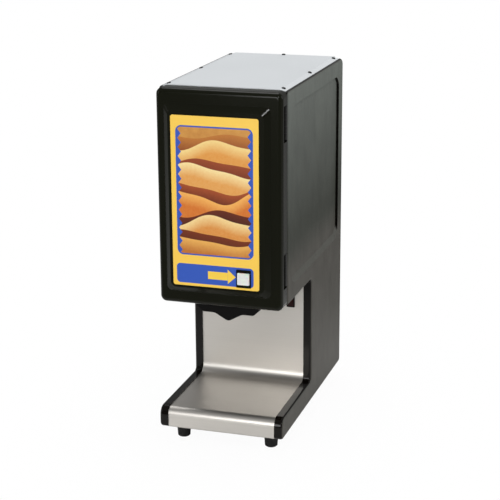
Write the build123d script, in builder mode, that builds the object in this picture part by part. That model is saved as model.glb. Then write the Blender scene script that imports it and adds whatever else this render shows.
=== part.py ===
from build123d import *
import os
from math import atan2, cos, radians, sin, tan

# Countertop heated food dispenser: a C-shaped cabinet with a heated upper box, a front door with a
# dispense button, a peristaltic pump behind the door, a rear column and a forward tray base.
# All sizes are in millimetres. X runs to the viewer's right, Y to the rear and Z up from the
# surface that the feet stand on. The origin is in the middle of the whole outline.

os.makedirs("parts", exist_ok=True)

# Cabinet outline
BODY_WIDTH = 225.0
BODY_DEPTH = 408.0
BODY_HEIGHT = 603.0
FOOT_HEIGHT = 28.0
RAIL_HEIGHT = 38.0
COLUMN_DEPTH = 218.0
BOX_HEIGHT = 369.0
BOX_DEPTH = 376.0

# Sheet metal and fits
SHEET = 1.2
COVER_THICK = 2.0
FIT = 0.3
RUNNING_FIT = 0.06
SCREW_CLEARANCE = 0.3

# Side panels
PANEL_THICK = 15.5
PANEL_WALL = 3.0
PANEL_EDGE_RADIUS = 5.0
NOSE_LOWER_RADIUS = 7.0
NOSE_UPPER_RADIUS = 17.0
BAY_RADIUS = 7.0
BOX_FRONT_RADIUS = 6.0
REAR_UPPER_RADIUS = 12.0
REAR_LOWER_RADIUS = 8.0
RECESS_DEPTH = 4.7
RECESS_RADIUS = 24.0
RECESS_FRONT = 23.0
RECESS_REAR = 31.0
RECESS_TOP = 31.0
RECESS_BOTTOM = 29.0
RECESS_SLOPE = 10.0
RIB_THICK = 2.5
RIB_PITCH = 58.0

# Door
DOOR_GAP = 2.0
DOOR_THICK = 30.0
DOOR_DROP = 1.5
DOOR_WALL = 3.0
DOOR_CORNER_RADIUS = 11.0
DOOR_EDGE_RADIUS = 8.0
DOOR_BACK_CHAMFER = 1.0
DOOR_GRIP_STRIP = 6.0
DOOR_SIDE_GAP = 0.5
HINGE_SEAT = 7.0
RAISED_DEPTH = 7.6
RAISED_BEVEL = 9.5
RAISED_SIDE_BORDER = 20.0
RAISED_TOP_BORDER = 24.0
RAISED_BOTTOM_BORDER = 22.5
RAISED_RADIUS = 10.0
DOOR_LINER_THICK = 2.0
DOOR_LINER_INSET = 0.6
DOOR_BOSS_RADIUS = 4.0
DOOR_BOSS_INSET = 13.5

# Graphic panel and dispense switch
GRAPHIC_SIDE_BORDER = 7.0
GRAPHIC_END_BORDER = 6.5
GRAPHIC_THICK = 0.8
GRAPHIC_RADIUS = 4.0
GRAPHIC_SHIFT = 1.5
GRAPHIC_LOWERING = 2.0
BUTTON_FROM_SIDE = 27.2
BUTTON_FROM_BOTTOM = 19.6
BUTTON_WIDTH = 21.0
BUTTON_HEIGHT = 20.6
BUTTON_PROUD = 3.6
BUTTON_DEPTH = 15.0
BUTTON_TRAVEL = 2.5
BUTTON_RADIUS = 1.5
BUTTON_GAP = 0.25
BEZEL_WIDTH = 25.7
BEZEL_HEIGHT = 31.3
BEZEL_THICK = 1.0
BEZEL_WALL = 1.2
SWITCH_BLOCK_DEPTH = 10.0

# Hinges
HINGE_LENGTH = 56.0
LOWER_HINGE_RISE = 65.0
UPPER_HINGE_DROP = 53.5
KNUCKLES = 5
KNUCKLE_RADIUS = 3.2
KNUCKLE_GAP = 0.3
HINGE_PIN_RADIUS = 1.5
HINGE_PIN_HEAD = 2.2
HINGE_LEAF = 1.2
HINGE_LEAF_WIDTH = 10.5
DOOR_LEAF_WIDTH = 18.0
HINGE_FROM_SIDE = 3.5

# Tray, splash and base
TRAY_DROP = 2.0
TRAY_SETBACK = 2.0
TRAY_NOSE_RADIUS = 14.0
TRAY_RETURN = 14.0
COVE_RADIUS = 19.0
FOLD_RADIUS = 2.5
SPLASH_SETBACK = 2.0
SPLASH_RETURN = 12.0
BASE_FLANGE = 22.0
BASE_GAP = 1.0

# Feet
FOOT_FROM_SIDE = 31.5
FOOT_FROM_END = 38.0
FOOT_TOP_RADIUS = 13.0
FOOT_BOTTOM_RADIUS = 11.0
FOOT_EDGE_BREAK = 1.5
FOOT_POCKET_RADIUS = 6.0
FOOT_POCKET_DEPTH = 10.0
FOOT_SCREW_RADIUS = 2.3
FOOT_SCREW_HEAD_RADIUS = 4.5
FOOT_SCREW_HEAD = 3.0
FOOT_SCREW_REACH = 7.0

# Cover screws
COVER_SETBACK = 4.0
COVER_SLOPE_DROP = 2.5
COVER_FLANGE = 11.0
COVER_SCREW_FROM_SIDE = 12.5
COVER_SCREW_LENGTH = 6.0
COVER_SCREW_FROM_END = 18.0
REAR_SCREW_INSET = 11.0
SCREW_HEAD_RADIUS = 3.5
SCREW_HEAD = 2.0
SCREW_RADIUS = 1.5
SCREW_LENGTH = 12.0
BOSS_LENGTH = 14.0

# Rear cover
REAR_COVER_FLANGE = 16.0
REAR_SCREWS = 4
REAR_SCREW_SPACING = 53.3
LOUVRE_WIDTH = 60.0
LOUVRE_HEIGHT = 4.0
LOUVRE_PITCH = 12.0
LOUVRE_ROWS = 6
LOUVRE_SPACING = 84.0
INLET_WIDTH = 48.0
INLET_HEIGHT = 27.0
INLET_BODY_WIDTH = 30.0
INLET_BODY_HEIGHT = 22.0
INLET_BODY_DEPTH = 24.0
INLET_FLANGE = 2.0
INLET_FROM_SIDE = 62.5
INLET_RISE = 40.0
INLET_RADIUS = 3.0
INLET_PIN_SPACING = 7.0
INLET_PIN_WIDTH = 2.0
INLET_PIN_HEIGHT = 4.0

# Power switch
SWITCH_FROM_SIDE = 39.8
SWITCH_DROP = 46.2
SWITCH_WIDTH = 15.0
SWITCH_HEIGHT = 21.0
SWITCH_LIP = 1.8
SWITCH_RADIUS = 1.5
SWITCH_BODY_WIDTH = 13.0
SWITCH_BODY_HEIGHT = 19.4
SWITCH_BODY_DEPTH = 22.0
SWITCH_WELL_DEPTH = 11.0
ROCKER_WIDTH = 10.4
ROCKER_RADIUS = 9.2
ROCKER_PIVOT_DEPTH = 1.0
ROCKER_VALLEY = 1.2
ROCKER_SLOPE = 9.5
ROCKER_PIN_RADIUS = 1.2

# Heated cavity
FRAME_THICK = 1.5
FRAME_RADIUS = 8.0
FRAME_SETBACK = 1.0
CAVITY_FLOOR_RISE = 94.0
CAVITY_CEILING_DROP = 19.0
CAVITY_SIDE_GAP = 7.0
CAVITY_DEPTH = 350.0
CAVITY_LIP = 6.0
LINER_WALL = 1.0
LINER_RADIUS = 6.0
INSULATION = 6.0
INSULATION_TOP = 11.0
SEAL_WIDTH = 6.0
SEAL_SETBACK = 1.0
SEAL_RADIUS = 8.0
TUBE_SLOT_HALF = 11.0

# Air circulation
BAFFLE_SETBACK = 60.0
BAFFLE_GAP = 1.5
FAN_RADIUS = 52.0
FAN_BLADES = 5
FAN_BLADE_THICK = 1.4
FAN_BLADE_WIDTH = 22.0
FAN_BLADE_ROOT = 2.0
FAN_BLADE_PITCH = 35.0
FAN_HUB_RADIUS = 15.0
FAN_HUB_DEPTH = 14.0
FAN_SETBACK = 38.0
FAN_SHAFT_RADIUS = 3.0
FAN_MOTOR_RADIUS = 32.0
FAN_MOTOR_DEPTH = 17.0
HEATER_RING_SHARE = 0.8
HEATER_TUBE_RADIUS = 3.25
HEATER_SETBACK = 22.0
HEATER_OPENING = 36.0
HEATER_TERMINAL_LENGTH = 14.0

# Bag rack
RACK_SIDE_GAP = 8.0
RACK_FRONT_INSET = 10.0
RACK_FLOOR_RISE = 12.0
RACK_LEVEL_LENGTH = 44.0
RACK_SLOPE_RISE = 70.0
RACK_REAR_GAP = 14.0
RACK_SIDE = 34.0
RACK_LIP = 22.0
RACK_SLOT_WIDTH = 5.0

# Pump
PUMP_SETBACK = 31.0
PUMP_RISE = 40.0
TUBE_LINE_RADIUS = 27.0
TUBE_BEND_RADIUS = 20.0
TUBE_SWEEP_HALF = 50.0
TUBE_RADIUS = 6.0
TUBE_WALL = 2.0
TUBE_FLAT_THICK = 4.0
TUBE_FLAT_WIDTH = 16.8
TUBE_BLEND = 14.0
TUBE_END_ABOVE_TIP = 4.0
ROLLER_RADIUS = 7.0
ROLLER_LENGTH = 18.0
ROLLERS = 3
ROLLER_PIN_RADIUS = 2.5
ROTOR_PLATE = 2.0
ROTOR_PLATE_RADIUS = 22.5
ROTOR_HUB_RADIUS = 8.0
ROTOR_WINDOW_RADIUS = 4.5
DRIVE_SHAFT_RADIUS = 4.0
SHAFT_CLEARANCE = 1.0
EDGE_BREAK = 1.0
PUMP_PLATE = 3.0
PUMP_PLATE_GAP = 0.7
PUMP_PLATE_RADIUS = 8.0
GUARD_RADIUS = 31.0
GUARD_WALL = 3.0
JAW_LEFT = 56.2
JAW_RIGHT = 19.2
JAW_HALF_HEIGHT = 24.0
JAW_DEPTH = 20.0
JAW_TRAVEL = 12.0
JAW_TAB_REACH = 11.0
JAW_TAB_THICK = 4.0
JAW_POST = 14.0
JAW_POST_GAP = 2.0
GUIDE_ROD_RADIUS = 3.0
GUIDE_ROD_SPREAD = 17.0
GUIDE_ROD_END = 42.0
PUMP_SHEET = 2.0
GEARBOX_WIDTH = 52.0
GEARBOX_DEPTH = 24.0
GEARBOX_SCREW_SPREAD = 20.0
MOTOR_RADIUS = 18.0
MOTOR_LENGTH = 55.0
MOTOR_CAP_RADIUS = 9.0
MOTOR_CAP_DEPTH = 4.0
RETAINER_RADIUS = 6.5
RETAINER_DEPTH = 3.0
RETAINER_SLOT = 1.2
FITMENT_FLANGE_RADIUS = 16.0
FITMENT_FLANGE = 3.0
FITMENT_NECK_RADIUS = 7.5
FITMENT_NECK = 6.0

# Door catch
CATCH_FROM_SIDE = 21.5
CATCH_WIDTH = 8.0
CATCH_HEIGHT = 28.0
CATCH_RISE = 30.0
STRIKE_THICK = 0.8

# Electrical parts
BOARD_WIDTH = 90.0
BOARD_HEIGHT = 60.0
BOARD_THICK = 1.6
BOARD_STANDOFF = 8.0
BOARD_RISE = 192.0
STANDOFF_RADIUS = 3.0
RELAY_WIDTH = 16.0
RELAY_HEIGHT = 28.0
RELAY_DEPTH = 15.0
RELAY_PITCH = 24.0
RELAYS = 3
CORE_WIDTH = 56.0
CORE_DEPTH = 34.0
CORE_HEIGHT = 48.0
COIL_OVERHANG = 8.0
TRANSFORMER_X = -38.0
TRANSFORMER_FROM_REAR = 100.0
TERMINAL_WIDTH = 62.0
TERMINAL_DEPTH = 22.0
TERMINAL_HEIGHT = 18.0
TERMINAL_POLES = 6
TERMINAL_BLOCK_X = 45.0
TERMINAL_FROM_REAR = 70.0
THERMOSTAT_WIDTH = 36.0
THERMOSTAT_HEIGHT = 26.0
THERMOSTAT_FROM_WALL = 40.0
PROBE_RADIUS = 3.0
PROBE_LENGTH = 60.0
HIGH_LIMIT_RADIUS = 9.0
HIGH_LIMIT_HEIGHT = 10.0
SPADE_THICK = 0.8
SPADE_WIDTH = 6.0

# Nozzle shroud
SHROUD_DEPTH = 26.0
SHROUD_TOP_HALF = 86.0
SHROUD_MIDDLE_HALF = 64.0
SHROUD_FLAT_OUTER = 46.0
SHROUD_FLAT_INNER = 25.0
SHROUD_TIP_DROP = 44.0
SHROUD_FLAT_DROP = 30.0
SHROUD_MIDDLE_DROP = 13.0
SHROUD_BEND_RADIUS = 6.0
SHROUD_VALLEY_RADIUS = 15.0
SHROUD_TIP_RADIUS = 10.0
SHROUD_WALL = 2.5
SHROUD_OUTLET_RADIUS = 8.0

# Main planes
OVERALL_DEPTH = BOX_DEPTH + DOOR_GAP + DOOR_THICK + RAISED_DEPTH + GRAPHIC_THICK + BUTTON_PROUD
REAR_Y = OVERALL_DEPTH / 2
NOSE_Y = REAR_Y - BODY_DEPTH
COLUMN_Y = REAR_Y - COLUMN_DEPTH
BOX_Y = REAR_Y - BOX_DEPTH
BASE_Z = FOOT_HEIGHT
RAIL_Z = BASE_Z + RAIL_HEIGHT
TOP_Z = BASE_Z + BODY_HEIGHT
BOX_Z = TOP_Z - BOX_HEIGHT
PANEL_TOP_Z = TOP_Z - COVER_SLOPE_DROP
SIDE_X = BODY_WIDTH / 2
INNER_X = SIDE_X - PANEL_THICK
SHEET_X = INNER_X - FIT
FOOT_X = SIDE_X - FOOT_FROM_SIDE
COVER_SCREW_X = SIDE_X - COVER_SCREW_FROM_SIDE
SWITCH_X = SIDE_X - SWITCH_FROM_SIDE
INLET_X = INLET_FROM_SIDE - SIDE_X
CATCH_X = CATCH_FROM_SIDE - SIDE_X
CAVITY_HALF_WIDTH = INNER_X - CAVITY_SIDE_GAP
RACK_HALF_WIDTH = CAVITY_HALF_WIDTH - RACK_SIDE_GAP


def across(y):
    """The plane across the cabinet at a depth y, facing the front."""
    return Plane.XZ.offset(-y)


def block(x, y, z, mode=Mode.ADD):
    """A box between two limits along each axis."""
    with Locations(((x[0] + x[1]) / 2, (y[0] + y[1]) / 2, (z[0] + z[1]) / 2)):
        Box(x[1] - x[0], y[1] - y[0], z[1] - z[0], mode=mode)


def rod(radius, x, z, y, mode=Mode.ADD):
    """A round bar along Y between two depths."""
    with Locations((x, (y[0] + y[1]) / 2, z)):
        Cylinder(radius, y[1] - y[0], rotation=(90, 0, 0), mode=mode)


def side_rod(radius, x, y, z, mode=Mode.ADD):
    """A round bar along X between two places."""
    with Locations(((x[0] + x[1]) / 2, y, z)):
        Cylinder(radius, x[1] - x[0], rotation=(0, 90, 0), mode=mode)


# Side panels: hollow mouldings with a C outline, a recessed outer field and ribs inside
PANEL_POINTS = (
    (NOSE_Y, BASE_Z),
    (NOSE_Y, RAIL_Z),
    (COLUMN_Y, RAIL_Z),
    (COLUMN_Y, BOX_Z),
    (BOX_Y, BOX_Z),
    (BOX_Y, PANEL_TOP_Z),
    (REAR_Y, PANEL_TOP_Z),
    (REAR_Y, BASE_Z),
)
PANEL_RADII = (
    NOSE_LOWER_RADIUS,
    NOSE_UPPER_RADIUS,
    BAY_RADIUS,
    BAY_RADIUS,
    BOX_FRONT_RADIUS,
    BOX_FRONT_RADIUS,
    REAR_UPPER_RADIUS,
    REAR_LOWER_RADIUS,
)
COVER_FRONT_Y = BOX_Y + COVER_SETBACK
COVER_REAR_Y = REAR_Y - REAR_UPPER_RADIUS
COVER_SCREW_YS = (
    BOX_Y + COVER_SCREW_FROM_END,
    (BOX_Y + COVER_REAR_Y) / 2,
    COVER_REAR_Y - COVER_SCREW_FROM_END + COVER_SETBACK,
)
RECESS_Y = (BOX_Y + RECESS_FRONT, REAR_Y - RECESS_REAR)
RECESS_Z = (BOX_Z + RECESS_BOTTOM, TOP_Z - RECESS_TOP)
POCKET_DEPTH = PANEL_THICK - PANEL_WALL - RECESS_DEPTH
COVER_EDGE_X = SIDE_X - PANEL_EDGE_RADIUS - FIT
COVER_SLOPE = atan2(COVER_SLOPE_DROP, COVER_EDGE_X - SHEET_X)
COVER_SCREW_PLANES = [
    Plane(
        origin=(s * COVER_SCREW_X, y, TOP_Z - (COVER_SCREW_X - SHEET_X) * tan(COVER_SLOPE)),
        x_dir=(0, 1, 0),
        z_dir=(s * sin(COVER_SLOPE), 0, cos(COVER_SLOPE)),
    )
    for s in (-1, 1)
    for y in COVER_SCREW_YS
]


def panel_outline(inset=0.0):
    """The C-shaped side outline, drawn inwards by an inset."""
    with BuildSketch() as outline:
        with BuildLine():
            FilletPolyline(*PANEL_POINTS, radius=PANEL_RADII, close=True)
        make_face()
        if inset:
            offset(amount=-inset)
    return outline.sketch


def recess_outline(bottom_z, grow=0.0):
    """The recessed field's outline from a lower edge up, grown by a wall."""
    width = RECESS_Y[1] - RECESS_Y[0] + 2 * grow
    height = RECESS_Z[1] - bottom_z + 2 * grow
    with BuildSketch() as outline:
        with Locations(((RECESS_Y[0] + RECESS_Y[1]) / 2, (bottom_z + RECESS_Z[1]) / 2)):
            RectangleRounded(width, height, RECESS_RADIUS + grow)
    return outline.sketch


with BuildPart() as right_side_panel:
    with BuildSketch(Plane.YZ.offset(INNER_X)):
        add(panel_outline())
    extrude(amount=PANEL_THICK)
    fillet(right_side_panel.faces().sort_by(Axis.X)[-1].outer_wire().edges(), PANEL_EDGE_RADIUS)
    with BuildSketch(across(COVER_REAR_Y)):
        with BuildLine():
            Polyline(
                (SHEET_X, TOP_Z - COVER_THICK),
                (COVER_EDGE_X, PANEL_TOP_Z - COVER_THICK),
                (COVER_EDGE_X + FIT, PANEL_TOP_Z - COVER_THICK),
                (COVER_EDGE_X + FIT, TOP_Z),
                (SHEET_X, TOP_Z),
                close=True,
            )
        make_face()
    extrude(amount=COVER_REAR_Y - COVER_FRONT_Y, mode=Mode.SUBTRACT)
    with BuildSketch(Plane.YZ.offset(SIDE_X)):
        add(recess_outline(RECESS_Z[0]))
    with BuildSketch(Plane.YZ.offset(SIDE_X - RECESS_DEPTH)):
        add(recess_outline(RECESS_Z[0] + RECESS_SLOPE))
    loft(mode=Mode.SUBTRACT)
    with BuildSketch(Plane.YZ.offset(INNER_X)):
        add(panel_outline(PANEL_WALL))
    extrude(amount=POCKET_DEPTH, mode=Mode.SUBTRACT)
    with BuildSketch(Plane.YZ.offset(INNER_X + POCKET_DEPTH)):
        add(panel_outline(PANEL_WALL))
        add(recess_outline(RECESS_Z[0], PANEL_WALL + RECESS_SLOPE), mode=Mode.SUBTRACT)
    extrude(amount=RECESS_DEPTH, mode=Mode.SUBTRACT)
    with BuildSketch(Plane.YZ.offset(INNER_X)):
        with GridLocations(RIB_PITCH, 0, int(BODY_DEPTH / RIB_PITCH), 1):
            with Locations((0, (BASE_Z + TOP_Z) / 2)):
                Rectangle(RIB_THICK, BODY_HEIGHT)
        with Locations((0, (BASE_Z + TOP_Z) / 2)):
            with GridLocations(0, RIB_PITCH, 1, int(BODY_HEIGHT / RIB_PITCH)):
                Rectangle(OVERALL_DEPTH, RIB_THICK)
        add(panel_outline(PANEL_WALL), mode=Mode.INTERSECT)
    extrude(amount=POCKET_DEPTH)
    for screw_y in COVER_SCREW_YS:
        block(
            (INNER_X, INNER_X + 2 * SCREW_RADIUS + PANEL_WALL),
            (screw_y - 2 * PANEL_WALL, screw_y + 2 * PANEL_WALL),
            (PANEL_TOP_Z - BOSS_LENGTH, PANEL_TOP_Z - PANEL_WALL),
        )
    with Locations(*COVER_SCREW_PLANES):
        Hole(SCREW_RADIUS + RUNNING_FIT, depth=COVER_SCREW_LENGTH + FIT)
right_side_panel.part.label = "right_side_panel"
export_step(right_side_panel.part, "parts/right_side_panel.step")

with BuildPart() as left_side_panel:
    add(right_side_panel.part)
    mirror(about=Plane.YZ, mode=Mode.REPLACE)
left_side_panel.part.label = "left_side_panel"
export_step(left_side_panel.part, "parts/left_side_panel.step")

# Top cover: a folded sheet with bevelled sides and a flange down at the front and the rear
with BuildPart() as top_cover:
    with BuildSketch(across(COVER_REAR_Y)):
        with BuildLine():
            Polyline(
                (-COVER_EDGE_X, PANEL_TOP_Z),
                (-SHEET_X, TOP_Z),
                (SHEET_X, TOP_Z),
                (COVER_EDGE_X, PANEL_TOP_Z),
                (COVER_EDGE_X, PANEL_TOP_Z - COVER_THICK),
                (SHEET_X, TOP_Z - COVER_THICK),
                (-SHEET_X, TOP_Z - COVER_THICK),
                (-COVER_EDGE_X, PANEL_TOP_Z - COVER_THICK),
                close=True,
            )
        make_face()
    extrude(amount=COVER_REAR_Y - COVER_FRONT_Y)
    with BuildSketch(Plane.YZ.offset(-SHEET_X)):
        with BuildLine():
            FilletPolyline(
                (COVER_FRONT_Y, PANEL_TOP_Z - COVER_FLANGE),
                (COVER_FRONT_Y, TOP_Z),
                (REAR_Y, TOP_Z),
                (REAR_Y, PANEL_TOP_Z - COVER_FLANGE),
                radius=(FOLD_RADIUS, 2 * FOLD_RADIUS),
            )
            offset(amount=COVER_THICK, side=Side.RIGHT)
        make_face()
    extrude(amount=2 * SHEET_X)
    with Locations(*COVER_SCREW_PLANES):
        Hole(SCREW_RADIUS + SCREW_CLEARANCE, depth=2 * COVER_THICK)
    with Locations((0, REAR_Y - REAR_SCREW_INSET, TOP_Z)):
        Hole(SCREW_RADIUS + SCREW_CLEARANCE, depth=2 * COVER_THICK)
top_cover.part.label = "top_cover"
export_step(top_cover.part, "parts/top_cover.step")

# Cover screws: seven small pan-head screws
with BuildPart() as pan_screw:
    with Locations((0, 0, SCREW_HEAD / 2)):
        Cylinder(SCREW_HEAD_RADIUS, SCREW_HEAD)
    chamfer(pan_screw.faces().sort_by(Axis.Z)[-1].edges(), SCREW_HEAD / 2)
    with Locations((0, 0, -COVER_SCREW_LENGTH / 2)):
        Cylinder(SCREW_RADIUS, COVER_SCREW_LENGTH)

with BuildPart() as top_cover_screws:
    with Locations(*COVER_SCREW_PLANES):
        add(pan_screw.part)
    with Locations((0, REAR_Y - REAR_SCREW_INSET, TOP_Z)):
        add(pan_screw.part)
top_cover_screws.part.label = "top_cover_screws"
export_step(top_cover_screws.part, "parts/top_cover_screws.step")

# Splash and tray: one stainless sheet, from the rolled nose over the tray and up the back
TRAY_Y = NOSE_Y + TRAY_SETBACK
TRAY_Z = RAIL_Z - TRAY_DROP
SPLASH_Y = COLUMN_Y + SPLASH_SETBACK
SWITCH_Z = BOX_Z - SWITCH_DROP

with BuildPart() as splash_and_tray:
    with BuildSketch(Plane.YZ.offset(-SHEET_X)):
        with BuildLine():
            FilletPolyline(
                (TRAY_Y + TRAY_RETURN, BASE_Z + FIT),
                (TRAY_Y, BASE_Z + FIT),
                (TRAY_Y, TRAY_Z),
                (SPLASH_Y, TRAY_Z),
                (SPLASH_Y, BOX_Z),
                (SPLASH_Y + SPLASH_RETURN, BOX_Z),
                radius=(FOLD_RADIUS, TRAY_NOSE_RADIUS, COVE_RADIUS, FOLD_RADIUS),
            )
            offset(amount=SHEET, side=Side.RIGHT)
        make_face()
    extrude(amount=2 * SHEET_X)
    block(
        (SWITCH_X - SWITCH_BODY_WIDTH / 2 - FIT, SWITCH_X + SWITCH_BODY_WIDTH / 2 + FIT),
        (SPLASH_Y - SHEET, SPLASH_Y + 2 * SHEET),
        (SWITCH_Z - SWITCH_BODY_HEIGHT / 2 - FIT, SWITCH_Z + SWITCH_BODY_HEIGHT / 2 + FIT),
        mode=Mode.SUBTRACT,
    )
splash_and_tray.part.label = "splash_and_tray"
export_step(splash_and_tray.part, "parts/splash_and_tray.step")

# Base plate: a folded tray that closes the base and carries the feet
REAR_FACE_Y = REAR_Y - COVER_THICK - FIT
REAR_INNER_Y = REAR_FACE_Y - SHEET
BASE_FRONT_Y = TRAY_Y + TRAY_RETURN + BASE_GAP
FOOT_PLACES = [
    (x, y, BASE_Z)
    for x in (-FOOT_X, FOOT_X)
    for y in (NOSE_Y + FOOT_FROM_END, REAR_Y - FOOT_FROM_END)
]
REAR_SCREW_XS = [(i - (REAR_SCREWS - 1) / 2) * REAR_SCREW_SPACING for i in range(REAR_SCREWS)]
REAR_SCREW_Z = BASE_Z + BASE_FLANGE / 2

with BuildPart() as base_plate:
    with BuildSketch(across(REAR_INNER_Y)):
        with BuildLine():
            FilletPolyline(
                (-SHEET_X, BASE_Z + BASE_FLANGE),
                (-SHEET_X, BASE_Z),
                (SHEET_X, BASE_Z),
                (SHEET_X, BASE_Z + BASE_FLANGE),
                radius=FOLD_RADIUS,
            )
            offset(amount=SHEET, side=Side.LEFT)
        make_face()
    extrude(amount=REAR_INNER_Y - BASE_FRONT_Y)
    block(
        (-SHEET_X + SHEET, SHEET_X - SHEET),
        (REAR_INNER_Y - SHEET, REAR_INNER_Y),
        (BASE_Z + SHEET, BASE_Z + BASE_FLANGE),
    )
    with Locations(*FOOT_PLACES):
        Cylinder(FOOT_SCREW_RADIUS + SCREW_CLEARANCE, 4 * SHEET, mode=Mode.SUBTRACT)
    for x in REAR_SCREW_XS:
        hole_y = (REAR_INNER_Y - 2 * SHEET, REAR_INNER_Y)
        rod(SCREW_RADIUS + RUNNING_FIT, x, REAR_SCREW_Z, hole_y, Mode.SUBTRACT)
base_plate.part.label = "base_plate"
export_step(base_plate.part, "parts/base_plate.step")

# Rubber feet: tapered, with a pocket for the screw head
with BuildPart() as foot:
    with BuildSketch(Plane.XZ):
        with BuildLine():
            Polyline(
                (FOOT_SCREW_RADIUS + SCREW_CLEARANCE, 0),
                (FOOT_TOP_RADIUS, 0),
                (FOOT_BOTTOM_RADIUS, -FOOT_HEIGHT),
                (FOOT_POCKET_RADIUS, -FOOT_HEIGHT),
                (FOOT_POCKET_RADIUS, FOOT_POCKET_DEPTH - FOOT_HEIGHT),
                (FOOT_SCREW_RADIUS + SCREW_CLEARANCE, FOOT_POCKET_DEPTH - FOOT_HEIGHT),
                close=True,
            )
        make_face()
    revolve(axis=Axis.Z)
    chamfer(foot.edges().group_by(Axis.Z)[0].sort_by(SortBy.RADIUS)[-1], FOOT_EDGE_BREAK)

with BuildPart() as rubber_feet:
    with Locations(*FOOT_PLACES):
        add(foot.part)
rubber_feet.part.label = "rubber_feet"
export_step(rubber_feet.part, "parts/rubber_feet.step")

# Foot screws: from the foot's pocket up through the base plate
FOOT_SEAT = FOOT_POCKET_DEPTH - FOOT_HEIGHT
with BuildPart() as foot_screw:
    with Locations((0, 0, FOOT_SEAT - FOOT_SCREW_HEAD / 2)):
        Cylinder(FOOT_SCREW_HEAD_RADIUS, FOOT_SCREW_HEAD)
    with Locations((0, 0, (FOOT_SEAT + FOOT_SCREW_REACH) / 2)):
        Cylinder(FOOT_SCREW_RADIUS, FOOT_SCREW_REACH - FOOT_SEAT)

with BuildPart() as foot_screws:
    with Locations(*FOOT_PLACES):
        add(foot_screw.part)
foot_screws.part.label = "foot_screws"
export_step(foot_screws.part, "parts/foot_screws.step")

# Rear cover: a louvred sheet between the side panels, folded forwards under the top cover
INLET_Z = BASE_Z + INLET_RISE
with BuildPart() as rear_cover:
    with BuildSketch(Plane.YZ.offset(-SHEET_X)):
        with BuildLine():
            FilletPolyline(
                (REAR_FACE_Y - REAR_COVER_FLANGE, PANEL_TOP_Z),
                (REAR_FACE_Y, PANEL_TOP_Z),
                (REAR_FACE_Y, BASE_Z + FIT),
                radius=2 * FOLD_RADIUS,
            )
            offset(amount=SHEET, side=Side.RIGHT)
        make_face()
    extrude(amount=2 * SHEET_X)
    with Locations((0, REAR_Y - REAR_SCREW_INSET, PANEL_TOP_Z)):
        Hole(SCREW_RADIUS + RUNNING_FIT, depth=2 * SHEET)
    with BuildSketch(across(REAR_FACE_Y)):
        with Locations((0, (BASE_Z + BOX_Z) / 2 + LOUVRE_PITCH), (0, (BOX_Z + TOP_Z) / 2)):
            with GridLocations(LOUVRE_SPACING, LOUVRE_PITCH, 2, LOUVRE_ROWS):
                SlotOverall(LOUVRE_WIDTH, LOUVRE_HEIGHT)
        with Locations((INLET_X, INLET_Z)):
            Rectangle(INLET_BODY_WIDTH + 2 * FIT, INLET_BODY_HEIGHT + 2 * FIT)
        with Locations(*((x, REAR_SCREW_Z) for x in REAR_SCREW_XS)):
            Circle(SCREW_RADIUS + SCREW_CLEARANCE)
    extrude(amount=2 * SHEET, both=True, mode=Mode.SUBTRACT)
rear_cover.part.label = "rear_cover"
export_step(rear_cover.part, "parts/rear_cover.step")

with BuildPart() as rear_cover_screws:
    for x in REAR_SCREW_XS:
        rod(SCREW_HEAD_RADIUS, x, REAR_SCREW_Z, (REAR_FACE_Y, REAR_FACE_Y + SCREW_HEAD))
        rod(SCREW_RADIUS, x, REAR_SCREW_Z, (REAR_FACE_Y - SCREW_LENGTH / 2, REAR_FACE_Y))
rear_cover_screws.part.label = "rear_cover_screws"
export_step(rear_cover_screws.part, "parts/rear_cover_screws.step")

# Power inlet: the socket for a plug-in lead, snapped into the rear cover
INLET_SOCKET_WIDTH = INLET_BODY_WIDTH - 2 * PANEL_WALL
INLET_SOCKET_HEIGHT = INLET_BODY_HEIGHT - 2 * PANEL_WALL
with BuildPart() as power_inlet:
    with BuildSketch(across(REAR_FACE_Y + INLET_FLANGE)):
        with Locations((INLET_X, INLET_Z)):
            RectangleRounded(INLET_WIDTH, INLET_HEIGHT, INLET_RADIUS)
    extrude(amount=INLET_FLANGE)
    block(
        (INLET_X - INLET_BODY_WIDTH / 2, INLET_X + INLET_BODY_WIDTH / 2),
        (REAR_FACE_Y - INLET_BODY_DEPTH, REAR_FACE_Y),
        (INLET_Z - INLET_BODY_HEIGHT / 2, INLET_Z + INLET_BODY_HEIGHT / 2),
    )
    with BuildSketch(across(REAR_FACE_Y + INLET_FLANGE)):
        with Locations((INLET_X, INLET_Z)):
            RectangleRounded(INLET_SOCKET_WIDTH, INLET_SOCKET_HEIGHT, INLET_RADIUS)
    extrude(amount=INLET_BODY_DEPTH - PANEL_WALL, mode=Mode.SUBTRACT)
    for x in (-INLET_PIN_SPACING, 0, INLET_PIN_SPACING):
        block(
            (INLET_X + x - INLET_PIN_WIDTH / 2, INLET_X + x + INLET_PIN_WIDTH / 2),
            (REAR_FACE_Y - INLET_BODY_DEPTH, REAR_FACE_Y - PANEL_WALL),
            (INLET_Z - INLET_PIN_HEIGHT / 2, INLET_Z + INLET_PIN_HEIGHT / 2),
        )
power_inlet.part.label = "power_inlet"
export_step(power_inlet.part, "parts/power_inlet.step")

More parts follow.
